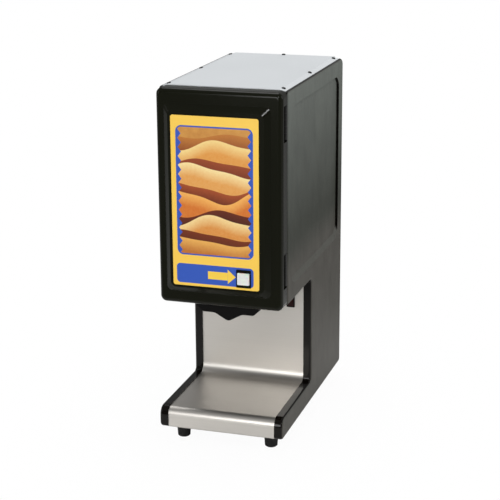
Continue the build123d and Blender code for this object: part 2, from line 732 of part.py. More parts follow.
# Power switch body: a snap-in bezel on the splash with a well for the rocker
WELL_HALF = ROCKER_RADIUS + FIT
with BuildPart() as power_switch_body:
    with BuildSketch(across(SPLASH_Y)):
        with Locations((SWITCH_X, SWITCH_Z)):
            RectangleRounded(SWITCH_WIDTH, SWITCH_HEIGHT, SWITCH_RADIUS)
    extrude(amount=SWITCH_LIP)
    block(
        (SWITCH_X - SWITCH_BODY_WIDTH / 2, SWITCH_X + SWITCH_BODY_WIDTH / 2),
        (SPLASH_Y, SPLASH_Y + SWITCH_BODY_DEPTH),
        (SWITCH_Z - SWITCH_BODY_HEIGHT / 2, SWITCH_Z + SWITCH_BODY_HEIGHT / 2),
    )
    block(
        (SWITCH_X - ROCKER_WIDTH / 2 - FIT, SWITCH_X + ROCKER_WIDTH / 2 + FIT),
        (SPLASH_Y - 2 * SWITCH_LIP, SPLASH_Y + SWITCH_WELL_DEPTH),
        (SWITCH_Z - WELL_HALF, SWITCH_Z + WELL_HALF),
        mode=Mode.SUBTRACT,
    )
    side_rod(
        ROCKER_PIN_RADIUS + RUNNING_FIT,
        (SWITCH_X - SWITCH_BODY_WIDTH / 2 - FIT, SWITCH_X + SWITCH_BODY_WIDTH / 2 + FIT),
        SPLASH_Y + ROCKER_PIVOT_DEPTH,
        SWITCH_Z,
        mode=Mode.SUBTRACT,
    )
power_switch_body.part.label = "power_switch_body"
export_step(power_switch_body.part, "parts/power_switch_body.step")

# Power rocker: a shallow V face on a round-ended body, turned to one side on its pivot
ROCKER_Y = SPLASH_Y + ROCKER_PIVOT_DEPTH
VALLEY_REACH = ROCKER_PIVOT_DEPTH + ROCKER_VALLEY
END_REACH = VALLEY_REACH + ROCKER_RADIUS * sin(radians(ROCKER_SLOPE))
ROCKER_PLANE = Plane(
    origin=(SWITCH_X - ROCKER_WIDTH / 2, ROCKER_Y, SWITCH_Z),
    x_dir=(0, cos(radians(ROCKER_SLOPE)), sin(radians(ROCKER_SLOPE))),
    z_dir=(1, 0, 0),
)
with BuildPart() as power_rocker:
    with BuildSketch(ROCKER_PLANE):
        with BuildLine():
            Polyline(
                (-END_REACH, ROCKER_RADIUS),
                (-VALLEY_REACH, 0),
                (-END_REACH, -ROCKER_RADIUS),
                (ROCKER_RADIUS / 2, -ROCKER_RADIUS),
                (ROCKER_RADIUS / 2, ROCKER_RADIUS),
                close=True,
            )
        make_face()
        Circle(ROCKER_RADIUS, mode=Mode.INTERSECT)
    extrude(amount=ROCKER_WIDTH)
    side_rod(
        ROCKER_PIN_RADIUS,
        (SWITCH_X - SWITCH_BODY_WIDTH / 2, SWITCH_X + SWITCH_BODY_WIDTH / 2),
        ROCKER_Y,
        SWITCH_Z,
    )
power_rocker.part.label = "power_rocker"
export_step(power_rocker.part, "parts/power_rocker.step")

# Door shell: a deep moulding with rounded edges and a raised, bevelled centre
DOOR_REAR_Y = BOX_Y - DOOR_GAP
DOOR_FRONT_Y = DOOR_REAR_Y - DOOR_THICK
RAISED_Y = DOOR_FRONT_Y - RAISED_DEPTH
GRAPHIC_Y = RAISED_Y - GRAPHIC_THICK
DOOR_WIDTH = BODY_WIDTH - DOOR_GRIP_STRIP - DOOR_SIDE_GAP
DOOR_HEIGHT = BOX_HEIGHT + DOOR_DROP
DOOR_X = (DOOR_GRIP_STRIP - DOOR_SIDE_GAP) / 2
HINGE_SEAT_X = SIDE_X - HINGE_SEAT
DOOR_Z = BOX_Z - DOOR_DROP
DOOR_MID_Z = DOOR_Z + DOOR_HEIGHT / 2
RAISED_WIDTH = BODY_WIDTH - 2 * RAISED_SIDE_BORDER
RAISED_HEIGHT = DOOR_HEIGHT - RAISED_TOP_BORDER - RAISED_BOTTOM_BORDER
RAISED_Z = DOOR_Z + RAISED_BOTTOM_BORDER + RAISED_HEIGHT / 2
GRAPHIC_X = -GRAPHIC_SHIFT
GRAPHIC_Z = RAISED_Z - GRAPHIC_LOWERING
GRAPHIC_WIDTH = RAISED_WIDTH - 2 * RAISED_BEVEL - 2 * GRAPHIC_SIDE_BORDER
GRAPHIC_HEIGHT = RAISED_HEIGHT - 2 * RAISED_BEVEL - 2 * GRAPHIC_END_BORDER
BUTTON_X = GRAPHIC_X + GRAPHIC_WIDTH / 2 - BUTTON_FROM_SIDE
BUTTON_Z = GRAPHIC_Z - GRAPHIC_HEIGHT / 2 + BUTTON_FROM_BOTTOM
BUTTON_FRONT_Y = GRAPHIC_Y - BUTTON_PROUD
WELL_WIDTH = BUTTON_WIDTH + 2 * BUTTON_GAP
WELL_HEIGHT = BUTTON_HEIGHT + 2 * BUTTON_GAP
SLEEVE_WIDTH = WELL_WIDTH + 2 * BEZEL_WALL
SLEEVE_HEIGHT = WELL_HEIGHT + 2 * BEZEL_WALL
SLEEVE_REAR_Y = BUTTON_FRONT_Y + BUTTON_DEPTH + BUTTON_TRAVEL + FIT
DOOR_BOSSES = [
    (DOOR_X + s * (DOOR_WIDTH / 2 - DOOR_BOSS_INSET), DOOR_MID_Z + t * (DOOR_HEIGHT / 2 - DOOR_BOSS_INSET))
    for s in (-1, 1)
    for t in (-1, 0, 1)
]
LINER_REAR_Y = DOOR_REAR_Y - DOOR_LINER_INSET
LINER_FRONT_Y = LINER_REAR_Y - DOOR_LINER_THICK
HINGE_X = SIDE_X - HINGE_FROM_SIDE
HINGE_Y = BOX_Y - KNUCKLE_RADIUS - 2 * RUNNING_FIT - FIT
HINGE_ZS = (BOX_Z + LOWER_HINGE_RISE, TOP_Z - UPPER_HINGE_DROP)
KNUCKLE_PITCH = HINGE_LENGTH / KNUCKLES
KNUCKLE_LENGTH = KNUCKLE_PITCH - KNUCKLE_GAP
KNUCKLE_CLEAR = KNUCKLE_RADIUS + FIT + RUNNING_FIT
POCKET_HALF = HINGE_LENGTH / 2 + HINGE_PIN_RADIUS + 2 * FIT


def raised_outline(y, inset, shrink):
    """The raised centre's outline at depth y: inset for a wall, shrunk towards its face."""
    with BuildSketch(across(y)) as outline:
        with Locations((0, RAISED_Z)):
            RectangleRounded(
                RAISED_WIDTH - 2 * inset - 2 * shrink,
                RAISED_HEIGHT - 2 * inset - 2 * shrink,
                RAISED_RADIUS - inset,
            )
    return outline.sketch


def hinge_pockets(grow, mode=Mode.SUBTRACT):
    """The pockets in the door's side that its hinges sit in, grown by a wall."""
    for hinge_z in HINGE_ZS:
        block(
            (HINGE_SEAT_X - grow, SIDE_X - DOOR_SIDE_GAP - min(grow, DOOR_WALL)),
            (HINGE_Y - DOOR_LEAF_WIDTH - FIT - grow, DOOR_REAR_Y),
            (hinge_z - POCKET_HALF - grow, hinge_z + POCKET_HALF + grow),
            mode=mode,
        )


def sleeve_opening(width, height, y, depth, mode=Mode.SUBTRACT):
    """A straight-sided passage for the switch, forwards from a depth y."""
    block(
        (BUTTON_X - width / 2, BUTTON_X + width / 2),
        (y - depth, y),
        (BUTTON_Z - height / 2, BUTTON_Z + height / 2),
        mode=mode,
    )


with BuildPart() as door_shell:
    with BuildSketch(across(DOOR_REAR_Y)):
        with Locations((DOOR_X, DOOR_MID_Z)):
            RectangleRounded(DOOR_WIDTH, DOOR_HEIGHT, DOOR_CORNER_RADIUS)
    extrude(amount=DOOR_THICK)
    fillet(door_shell.faces().sort_by(Axis.Y)[0].edges(), DOOR_EDGE_RADIUS)
    chamfer(door_shell.faces().sort_by(Axis.Y)[-1].edges(), DOOR_BACK_CHAMFER)
    loft([raised_outline(DOOR_FRONT_Y, 0, 0), raised_outline(RAISED_Y, 0, RAISED_BEVEL)])
    with BuildSketch(across(DOOR_REAR_Y)):
        with Locations((DOOR_X, DOOR_MID_Z)):
            RectangleRounded(
                DOOR_WIDTH - 2 * DOOR_WALL, DOOR_HEIGHT - 2 * DOOR_WALL, DOOR_CORNER_RADIUS - DOOR_WALL
            )
    extrude(amount=DOOR_THICK - DOOR_WALL, mode=Mode.SUBTRACT)
    loft(
        [
            raised_outline(DOOR_FRONT_Y + DOOR_WALL, DOOR_WALL, 0),
            raised_outline(RAISED_Y + DOOR_WALL, DOOR_WALL, RAISED_BEVEL),
        ],
        mode=Mode.SUBTRACT,
    )
    hinge_pockets(DOOR_WALL, Mode.ADD)
    hinge_pockets(0)
    for x, z in DOOR_BOSSES:
        rod(DOOR_BOSS_RADIUS, x, z, (DOOR_FRONT_Y + DOOR_WALL / 2, LINER_FRONT_Y))
        rod(SCREW_RADIUS, x, z, (LINER_FRONT_Y - SCREW_LENGTH, LINER_FRONT_Y), Mode.SUBTRACT)
    sleeve_opening(SLEEVE_WIDTH + FIT, SLEEVE_HEIGHT + FIT, DOOR_FRONT_Y, 2 * RAISED_DEPTH)
door_shell.part.label = "door_shell"
export_step(door_shell.part, "parts/door_shell.step")

# Door liner: the flat inner panel, screwed to the shell's bosses
with BuildPart() as door_liner:
    with BuildSketch(across(LINER_REAR_Y)):
        with Locations((DOOR_X, DOOR_MID_Z)):
            RectangleRounded(
                DOOR_WIDTH - 2 * DOOR_WALL - 2 * FIT,
                DOOR_HEIGHT - 2 * DOOR_WALL - 2 * FIT,
                DOOR_CORNER_RADIUS - DOOR_WALL - FIT,
            )
    extrude(amount=DOOR_LINER_THICK)
    hinge_pockets(DOOR_WALL + FIT)
    for x, z in DOOR_BOSSES:
        with BuildSketch(across(LINER_REAR_Y)) as screw_mouth:
            with Locations((x, z)):
                Circle(SCREW_HEAD_RADIUS)
        extrude(amount=SCREW_HEAD_RADIUS - SCREW_RADIUS, taper=45, mode=Mode.SUBTRACT)
        rod(SCREW_RADIUS + RUNNING_FIT, x, z, (LINER_FRONT_Y, LINER_REAR_Y), Mode.SUBTRACT)
door_liner.part.label = "door_liner"
export_step(door_liner.part, "parts/door_liner.step")

with BuildPart() as door_liner_screws:
    for x, z in DOOR_BOSSES:
        with BuildSketch(across(LINER_REAR_Y)):
            with Locations((x, z)):
                Circle(SCREW_HEAD_RADIUS - RUNNING_FIT)
        extrude(amount=SCREW_HEAD_RADIUS - SCREW_RADIUS, taper=45)
        rod(SCREW_RADIUS - RUNNING_FIT, x, z, (LINER_FRONT_Y - SCREW_LENGTH + SCREW_HEAD, LINER_REAR_Y))
door_liner_screws.part.label = "door_liner_screws"
export_step(door_liner_screws.part, "parts/door_liner_screws.step")

# Graphic panel: the thin printed sheet on the raised centre
with BuildPart() as graphic_panel:
    with BuildSketch(across(RAISED_Y)):
        with Locations((GRAPHIC_X, GRAPHIC_Z)):
            RectangleRounded(GRAPHIC_WIDTH, GRAPHIC_HEIGHT, GRAPHIC_RADIUS)
    extrude(amount=GRAPHIC_THICK)
    sleeve_opening(SLEEVE_WIDTH + FIT, SLEEVE_HEIGHT + FIT, RAISED_Y, 2 * GRAPHIC_THICK)
graphic_panel.part.label = "graphic_panel"
export_step(graphic_panel.part, "parts/graphic_panel.step")

# Switch bezel: a frame on the graphic with a sleeve that guides the button
with BuildPart() as switch_bezel:
    with BuildSketch(across(GRAPHIC_Y)):
        with Locations((BUTTON_X, BUTTON_Z)):
            RectangleRounded(BEZEL_WIDTH, BEZEL_HEIGHT, BUTTON_RADIUS)
    extrude(amount=BEZEL_THICK)
    sleeve_opening(SLEEVE_WIDTH, SLEEVE_HEIGHT, SLEEVE_REAR_Y, SLEEVE_REAR_Y - GRAPHIC_Y, Mode.ADD)
    with BuildSketch(across(SLEEVE_REAR_Y)):
        with Locations((BUTTON_X, BUTTON_Z)):
            RectangleRounded(WELL_WIDTH, WELL_HEIGHT, BUTTON_RADIUS)
    extrude(amount=SLEEVE_REAR_Y - BUTTON_FRONT_Y, mode=Mode.SUBTRACT)
switch_bezel.part.label = "switch_bezel"
export_step(switch_bezel.part, "parts/switch_bezel.step")

# Dispense button: a hollow translucent cap that slides in the bezel
with BuildPart() as dispense_button:
    with BuildSketch(across(BUTTON_FRONT_Y + BUTTON_DEPTH)):
        with Locations((BUTTON_X, BUTTON_Z)):
            RectangleRounded(BUTTON_WIDTH, BUTTON_HEIGHT, BUTTON_RADIUS)
    extrude(amount=BUTTON_DEPTH)
    fillet(dispense_button.faces().sort_by(Axis.Y)[0].edges(), BUTTON_RADIUS / 2)
    with BuildSketch(across(BUTTON_FRONT_Y + BUTTON_DEPTH)):
        with Locations((BUTTON_X, BUTTON_Z)):
            Rectangle(BUTTON_WIDTH - 2 * BEZEL_WALL, BUTTON_HEIGHT - 2 * BEZEL_WALL)
    extrude(amount=BUTTON_DEPTH - 2 * BEZEL_WALL, mode=Mode.SUBTRACT)
dispense_button.part.label = "dispense_button"
export_step(dispense_button.part, "parts/dispense_button.step")

# Dispense switch: the contact block behind the sleeve, with its two terminals
with BuildPart() as dispense_switch:
    sleeve_opening(
        SLEEVE_WIDTH, SLEEVE_HEIGHT, SLEEVE_REAR_Y + SWITCH_BLOCK_DEPTH, SWITCH_BLOCK_DEPTH, Mode.ADD
    )
    for s in (-1, 1):
        block(
            (BUTTON_X + s * SLEEVE_WIDTH / 4 - BEZEL_WALL, BUTTON_X + s * SLEEVE_WIDTH / 4 + BEZEL_WALL),
            (SLEEVE_REAR_Y + SWITCH_BLOCK_DEPTH, LINER_FRONT_Y - FIT),
            (BUTTON_Z - BEZEL_WALL / 2, BUTTON_Z + BEZEL_WALL / 2),
        )
dispense_switch.part.label = "dispense_switch"
export_step(dispense_switch.part, "parts/dispense_switch.step")

# Door hinges: leaves on the cabinet and on the door's side, knuckles in turn along one pin


def knuckle_places(first):
    """Centre heights of every second knuckle of both hinges, counted from the lowest."""
    return [
        hinge_z + (i - (KNUCKLES - 1) / 2) * KNUCKLE_PITCH
        for hinge_z in HINGE_ZS
        for i in range(first, KNUCKLES, 2)
    ]


with BuildPart() as cabinet_hinge_leaves:
    for z in HINGE_ZS:
        block(
            (HINGE_X - HINGE_LEAF_WIDTH, HINGE_X - KNUCKLE_CLEAR),
            (BOX_Y - HINGE_LEAF, BOX_Y),
            (z - (HINGE_LENGTH - KNUCKLE_GAP) / 2, z + (HINGE_LENGTH - KNUCKLE_GAP) / 2),
        )
    for z in knuckle_places(0):
        block(
            (HINGE_X - KNUCKLE_CLEAR, HINGE_X),
            (BOX_Y - HINGE_LEAF, BOX_Y),
            (z - KNUCKLE_LENGTH / 2, z + KNUCKLE_LENGTH / 2),
        )
        with Locations((HINGE_X, HINGE_Y, z)):
            Cylinder(KNUCKLE_RADIUS, KNUCKLE_LENGTH)
    for z in HINGE_ZS:
        with Locations((HINGE_X, HINGE_Y, z)):
            Cylinder(HINGE_PIN_RADIUS, HINGE_LENGTH, mode=Mode.SUBTRACT)
cabinet_hinge_leaves.part.label = "cabinet_hinge_leaves"
export_step(cabinet_hinge_leaves.part, "parts/cabinet_hinge_leaves.step")

with BuildPart() as hinge_pins:
    for z in HINGE_ZS:
        with Locations((HINGE_X, HINGE_Y, z)):
            Cylinder(HINGE_PIN_RADIUS, HINGE_LENGTH)
        with Locations((HINGE_X, HINGE_Y, z + HINGE_LENGTH / 2)):
            Cylinder(HINGE_PIN_HEAD, HINGE_PIN_RADIUS, align=(Align.CENTER, Align.CENTER, Align.MIN))
hinge_pins.part.label = "hinge_pins"
export_step(hinge_pins.part, "parts/hinge_pins.step")

with BuildPart() as door_hinge_leaves:
    for z in HINGE_ZS:
        block(
            (HINGE_SEAT_X, HINGE_SEAT_X + HINGE_LEAF),
            (HINGE_Y - DOOR_LEAF_WIDTH, HINGE_Y - KNUCKLE_CLEAR),
            (z - (HINGE_LENGTH - KNUCKLE_GAP) / 2, z + (HINGE_LENGTH - KNUCKLE_GAP) / 2),
        )
    for z in knuckle_places(1):
        block(
            (HINGE_SEAT_X, HINGE_SEAT_X + HINGE_LEAF),
            (HINGE_Y - KNUCKLE_CLEAR, HINGE_Y),
            (z - KNUCKLE_LENGTH / 2, z + KNUCKLE_LENGTH / 2),
        )
        with Locations((HINGE_X, HINGE_Y, z)):
            Cylinder(KNUCKLE_RADIUS, KNUCKLE_LENGTH)
    for z in HINGE_ZS:
        with Locations((HINGE_X, HINGE_Y, z)):
            Cylinder(HINGE_PIN_RADIUS + RUNNING_FIT, HINGE_LENGTH, mode=Mode.SUBTRACT)
door_hinge_leaves.part.label = "door_hinge_leaves"
export_step(door_hinge_leaves.part, "parts/door_hinge_leaves.step")

# Soffit: the folded sheet under the upper box, with a slot for the dispensing tube
PUMP_Y = BOX_Y + PUMP_SETBACK
PUMP_Z = BOX_Z + PUMP_RISE
SOFFIT_TOP_Z = BOX_Z + SHEET
FRAME_Y = BOX_Y + FRAME_SETBACK
FRAME_REAR_Y = FRAME_Y + FRAME_THICK
with BuildPart() as soffit:
    with BuildSketch(across(SPLASH_Y + SPLASH_RETURN)):
        with BuildLine():
            FilletPolyline(
                (-SHEET_X, BOX_Z + COVER_FLANGE),
                (-SHEET_X, BOX_Z),
                (SHEET_X, BOX_Z),
                (SHEET_X, BOX_Z + COVER_FLANGE),
                radius=FOLD_RADIUS,
            )
            offset(amount=SHEET, side=Side.LEFT)
        make_face()
    extrude(amount=SPLASH_Y + SPLASH_RETURN - FRAME_REAR_Y)
    with BuildSketch(Plane.XY.offset(BOX_Z)):
        with Locations((0, PUMP_Y)):
            SlotOverall(4 * TUBE_RADIUS, TUBE_FLAT_WIDTH + 4 * FIT, rotation=90)
    extrude(amount=SHEET, mode=Mode.SUBTRACT)
soffit.part.label = "soffit"
export_step(soffit.part, "parts/soffit.step")

# Nozzle shroud: a moulded guard with a V spout, hollow above and open at the outlet
SHROUD_Y = PUMP_Y - SHROUD_DEPTH / 2
SHROUD_HALF = (
    (SHROUD_TOP_HALF, 0),
    (SHROUD_MIDDLE_HALF, -SHROUD_MIDDLE_DROP),
    (SHROUD_FLAT_OUTER, -SHROUD_FLAT_DROP),
    (SHROUD_FLAT_INNER, -SHROUD_FLAT_DROP),
    (0, -SHROUD_TIP_DROP),
)
SHROUD_POINTS = [(x, BOX_Z + z) for x, z in SHROUD_HALF] + [(-x, BOX_Z + z) for x, z in SHROUD_HALF[-2::-1]]
SHROUD_RADII = (
    SHROUD_WALL,
    SHROUD_BEND_RADIUS,
    SHROUD_BEND_RADIUS,
    SHROUD_VALLEY_RADIUS,
    SHROUD_TIP_RADIUS,
    SHROUD_VALLEY_RADIUS,
    SHROUD_BEND_RADIUS,
    SHROUD_BEND_RADIUS,
    SHROUD_WALL,
)


def shroud_outline(inset=0.0):
    """The shroud's front outline, drawn inwards by a wall."""
    with BuildSketch() as outline:
        with BuildLine():
            FilletPolyline(*SHROUD_POINTS, radius=SHROUD_RADII, close=True)
        make_face()
        if inset:
            offset(amount=-inset, kind=Kind.INTERSECTION)
            with Locations((0, BOX_Z - inset)):
                Rectangle(2 * (SHROUD_TOP_HALF - 2 * inset), 2 * inset)
    return outline.sketch


with BuildPart() as nozzle_shroud:
    with BuildSketch(across(SHROUD_Y + SHROUD_DEPTH)):
        add(shroud_outline())
    extrude(amount=SHROUD_DEPTH)
    with BuildSketch(across(SHROUD_Y + SHROUD_DEPTH - SHROUD_WALL)):
        add(shroud_outline(SHROUD_WALL))
    extrude(amount=SHROUD_DEPTH - 2 * SHROUD_WALL, mode=Mode.SUBTRACT)
    with Locations((0, PUMP_Y, BOX_Z - SHROUD_TIP_DROP)):
        Cylinder(SHROUD_OUTLET_RADIUS, 2 * SHROUD_MIDDLE_DROP, mode=Mode.SUBTRACT)
nozzle_shroud.part.label = "nozzle_shroud"
export_step(nozzle_shroud.part, "parts/nozzle_shroud.step")

# Front frame: the plate round the cavity's mouth and the pump bay
CAVITY_Z = BOX_Z + CAVITY_FLOOR_RISE
CAVITY_TOP_Z = TOP_Z - CAVITY_CEILING_DROP
MOUTH_HALF = CAVITY_HALF_WIDTH - CAVITY_LIP
MOUTH_Z = (CAVITY_Z + CAVITY_LIP, CAVITY_TOP_Z - CAVITY_LIP)
BAY_Z = (SOFFIT_TOP_Z + CAVITY_LIP, CAVITY_Z - CAVITY_LIP)
with BuildPart() as front_frame:
    block((-SHEET_X, SHEET_X), (FRAME_Y, FRAME_REAR_Y), (SOFFIT_TOP_Z, PANEL_TOP_Z - COVER_FLANGE - FIT))
    with BuildSketch(across(FRAME_REAR_Y)):
        for low, high in (MOUTH_Z, BAY_Z):
            with Locations((0, (low + high) / 2)):
                RectangleRounded(2 * MOUTH_HALF, high - low, FRAME_RADIUS)
    extrude(amount=2 * FRAME_THICK, both=True, mode=Mode.SUBTRACT)
front_frame.part.label = "front_frame"
export_step(front_frame.part, "parts/front_frame.step")

# Door seal: the soft ring round the cavity's mouth
with BuildPart() as door_seal:
    with BuildSketch(across(FRAME_Y)):
        with Locations((0, (MOUTH_Z[0] + MOUTH_Z[1]) / 2)):
            RectangleRounded(
                2 * (MOUTH_HALF + SEAL_WIDTH + SEAL_SETBACK),
                MOUTH_Z[1] - MOUTH_Z[0] + 2 * (SEAL_WIDTH + SEAL_SETBACK),
                SEAL_RADIUS + SEAL_WIDTH,
            )
            RectangleRounded(
                2 * (MOUTH_HALF + SEAL_SETBACK),
                MOUTH_Z[1] - MOUTH_Z[0] + 2 * SEAL_SETBACK,
                SEAL_RADIUS,
                mode=Mode.SUBTRACT,
            )
    extrude(amount=FRAME_Y - LINER_REAR_Y - FIT)
door_seal.part.label = "door_seal"
export_step(door_seal.part, "parts/door_seal.step")

# Cavity liner: the folded heated box, open to the front
LINER_Y = (FRAME_REAR_Y, FRAME_REAR_Y + CAVITY_DEPTH)
FAN_Z = (CAVITY_Z + CAVITY_TOP_Z) / 2
HEATER_Y = LINER_Y[1] - HEATER_SETBACK
HEATER_RING_RADIUS = HEATER_RING_SHARE * CAVITY_HALF_WIDTH
THERMOSTAT_X = CAVITY_HALF_WIDTH - THERMOSTAT_FROM_WALL
TERMINAL_ANGLE = radians(HEATER_OPENING / 2)
TERMINAL_X = HEATER_RING_RADIUS * sin(TERMINAL_ANGLE)
TERMINAL_Z = FAN_Z - HEATER_RING_RADIUS * cos(TERMINAL_ANGLE)
with BuildPart() as cavity_liner:
    block((-CAVITY_HALF_WIDTH, CAVITY_HALF_WIDTH), LINER_Y, (CAVITY_Z, CAVITY_TOP_Z))
    fillet(cavity_liner.edges().filter_by(Axis.Y), LINER_RADIUS)
    offset(amount=-LINER_WALL, openings=cavity_liner.faces().sort_by(Axis.Y)[0])
    block(
        (-TUBE_SLOT_HALF, TUBE_SLOT_HALF),
        (LINER_Y[0] - FIT, PUMP_Y),
        (CAVITY_Z - FIT, CAVITY_Z + 2 * LINER_WALL),
        mode=Mode.SUBTRACT,
    )
    with Locations((0, PUMP_Y, CAVITY_Z)):
        Cylinder(TUBE_SLOT_HALF, 4 * LINER_WALL, mode=Mode.SUBTRACT)
    with Locations((THERMOSTAT_X, HEATER_Y, CAVITY_Z)):
        Cylinder(PROBE_RADIUS + FIT, 4 * LINER_WALL, mode=Mode.SUBTRACT)
    for radius, x, z in (
        (2 * FAN_SHAFT_RADIUS, 0, FAN_Z),
        (HEATER_TUBE_RADIUS + FIT, -TERMINAL_X, TERMINAL_Z),
        (HEATER_TUBE_RADIUS + FIT, TERMINAL_X, TERMINAL_Z),
    ):
        rod(radius, x, z, (LINER_Y[1] - 2 * LINER_WALL, LINER_Y[1] + FIT), Mode.SUBTRACT)
cavity_liner.part.label = "cavity_liner"
export_step(cavity_liner.part, "parts/cavity_liner.step")

# Insulation: one blanket over the liner's sides, top and rear
BLANKET_X = CAVITY_HALF_WIDTH + INSULATION
BLANKET_Y = (LINER_Y[0] + COVER_FLANGE, LINER_Y[1] + INSULATION)
with BuildPart() as insulation_blanket:
    block((-BLANKET_X, BLANKET_X), BLANKET_Y, (CAVITY_Z, CAVITY_TOP_Z + INSULATION_TOP))
    block(
        (-CAVITY_HALF_WIDTH, CAVITY_HALF_WIDTH),
        (LINER_Y[0], LINER_Y[1]),
        (CAVITY_Z - FIT, CAVITY_TOP_Z),
        mode=Mode.SUBTRACT,
    )
    rod(FAN_MOTOR_RADIUS + FIT, 0, FAN_Z, (LINER_Y[1] - FIT, BLANKET_Y[1] + FIT), Mode.SUBTRACT)
    for s in (-1, 1):
        rod(
            2 * HEATER_TUBE_RADIUS,
            s * TERMINAL_X,
            TERMINAL_Z,
            (LINER_Y[1] - FIT, BLANKET_Y[1] + FIT),
            Mode.SUBTRACT,
        )
insulation_blanket.part.label = "insulation_blanket"
export_step(insulation_blanket.part, "parts/insulation_blanket.step")

# Air baffle: the slotted plate that hides the fan and spreads the warm air
BAFFLE_Y = LINER_Y[1] - BAFFLE_SETBACK
BAFFLE_X = CAVITY_HALF_WIDTH - LINER_WALL - BAFFLE_GAP
BAFFLE_Z = (CAVITY_Z + LINER_WALL, CAVITY_TOP_Z - LINER_WALL)
with BuildPart() as air_baffle:
    with BuildSketch(across(BAFFLE_Y)):
        with Locations((0, FAN_Z)):
            RectangleRounded(2 * BAFFLE_X, BAFFLE_Z[1] - BAFFLE_Z[0], LINER_RADIUS)
            with GridLocations(0, LOUVRE_PITCH, 1, LOUVRE_ROWS):
                SlotOverall(LOUVRE_WIDTH, LOUVRE_HEIGHT, mode=Mode.SUBTRACT)
            with GridLocations(LOUVRE_SPACING, BAFFLE_Z[1] - BAFFLE_Z[0] - 2 * LOUVRE_PITCH, 2, 2):
                SlotOverall(LOUVRE_WIDTH, LOUVRE_HEIGHT, mode=Mode.SUBTRACT)
    extrude(amount=LINER_WALL)
    for s in (-1, 1):
        block(
            (min(s * BAFFLE_X, s * (BAFFLE_X - SHEET)), max(s * BAFFLE_X, s * (BAFFLE_X - SHEET))),
            (BAFFLE_Y - SHEET / 2, BAFFLE_Y + COVER_FLANGE),
            (BAFFLE_Z[0] + LOUVRE_PITCH, BAFFLE_Z[1] - LOUVRE_PITCH),
        )
air_baffle.part.label = "air_baffle"
export_step(air_baffle.part, "parts/air_baffle.step")

# Circulation fan: pitched blades on a hub with its shaft
FAN_Y = LINER_Y[1] - FAN_SETBACK
with BuildPart() as fan_blade:
    with BuildSketch(Plane.XZ.rotated((0, 0, FAN_BLADE_PITCH)).offset(-FAN_BLADE_THICK / 2)):
        with Locations((0, (FAN_RADIUS + FAN_HUB_RADIUS - FAN_BLADE_ROOT) / 2)):
            RectangleRounded(FAN_BLADE_WIDTH, FAN_RADIUS - FAN_HUB_RADIUS + FAN_BLADE_ROOT, PANEL_WALL)
    extrude(amount=FAN_BLADE_THICK)

with BuildPart() as fan_impeller:
    rod(FAN_HUB_RADIUS, 0, FAN_Z, (FAN_Y - FAN_HUB_DEPTH / 2, FAN_Y + FAN_HUB_DEPTH / 2))
    with Locations((0, FAN_Y, FAN_Z)):
        for i in range(FAN_BLADES):
            add(fan_blade.part, rotation=(0, 360 * i / FAN_BLADES, 0))
    rod(FAN_SHAFT_RADIUS, 0, FAN_Z, (FAN_Y, LINER_Y[1] + FAN_MOTOR_DEPTH / 2))
fan_impeller.part.label = "fan_impeller"
export_step(fan_impeller.part, "parts/fan_impeller.step")

with BuildPart() as fan_motor:
    rod(FAN_MOTOR_RADIUS, 0, FAN_Z, (LINER_Y[1], LINER_Y[1] + FAN_MOTOR_DEPTH))
    chamfer(fan_motor.faces().sort_by(Axis.Y)[-1].edges(), PANEL_WALL)
    rod(
        FAN_SHAFT_RADIUS + RUNNING_FIT,
        0,
        FAN_Z,
        (LINER_Y[1] - FIT, LINER_Y[1] + FAN_MOTOR_DEPTH / 2 + FIT),
        Mode.SUBTRACT,
    )
fan_motor.part.label = "fan_motor"
export_step(fan_motor.part, "parts/fan_motor.step")

# Heating element: an open ring round the fan with two straight terminals
with BuildPart() as heating_element:
    with BuildSketch(
        Plane(
            origin=(TERMINAL_X, HEATER_Y, TERMINAL_Z),
            x_dir=(0, 1, 0),
            z_dir=(cos(TERMINAL_ANGLE), 0, sin(TERMINAL_ANGLE)),
        )
    ):
        Circle(HEATER_TUBE_RADIUS)
    revolve(axis=Axis((0, HEATER_Y, FAN_Z), (0, -1, 0)), revolution_arc=360 - HEATER_OPENING)
    for s in (-1, 1):
        with Locations((s * TERMINAL_X, HEATER_Y, TERMINAL_Z)):
            Sphere(HEATER_TUBE_RADIUS)
        rod(
            HEATER_TUBE_RADIUS,
            s * TERMINAL_X,
            TERMINAL_Z,
            (HEATER_Y, LINER_Y[1] + HEATER_TERMINAL_LENGTH),
        )
heating_element.part.label = "heating_element"
export_step(heating_element.part, "parts/heating_element.step")

# Heating element clips: blocks on the liner's rear wall that hold the ring
CLIP_HALF = 2 * HEATER_TUBE_RADIUS
CLIP_PLACES = ((HEATER_RING_RADIUS, 0), (-HEATER_RING_RADIUS, 0), (0, HEATER_RING_RADIUS))
with BuildPart() as element_clips:
    for x, z in CLIP_PLACES:
        block(
            (x - CLIP_HALF, x + CLIP_HALF),
            (HEATER_Y - CLIP_HALF, LINER_Y[1] - LINER_WALL),
            (FAN_Z + z - CLIP_HALF, FAN_Z + z + CLIP_HALF),
        )
    with BuildSketch(Plane.XY.offset(FAN_Z)):
        with Locations((HEATER_RING_RADIUS, HEATER_Y)):
            Circle(HEATER_TUBE_RADIUS + RUNNING_FIT)
    revolve(axis=Axis((0, HEATER_Y, FAN_Z), (0, -1, 0)), mode=Mode.SUBTRACT)
element_clips.part.label = "element_clips"
export_step(element_clips.part, "parts/element_clips.step")

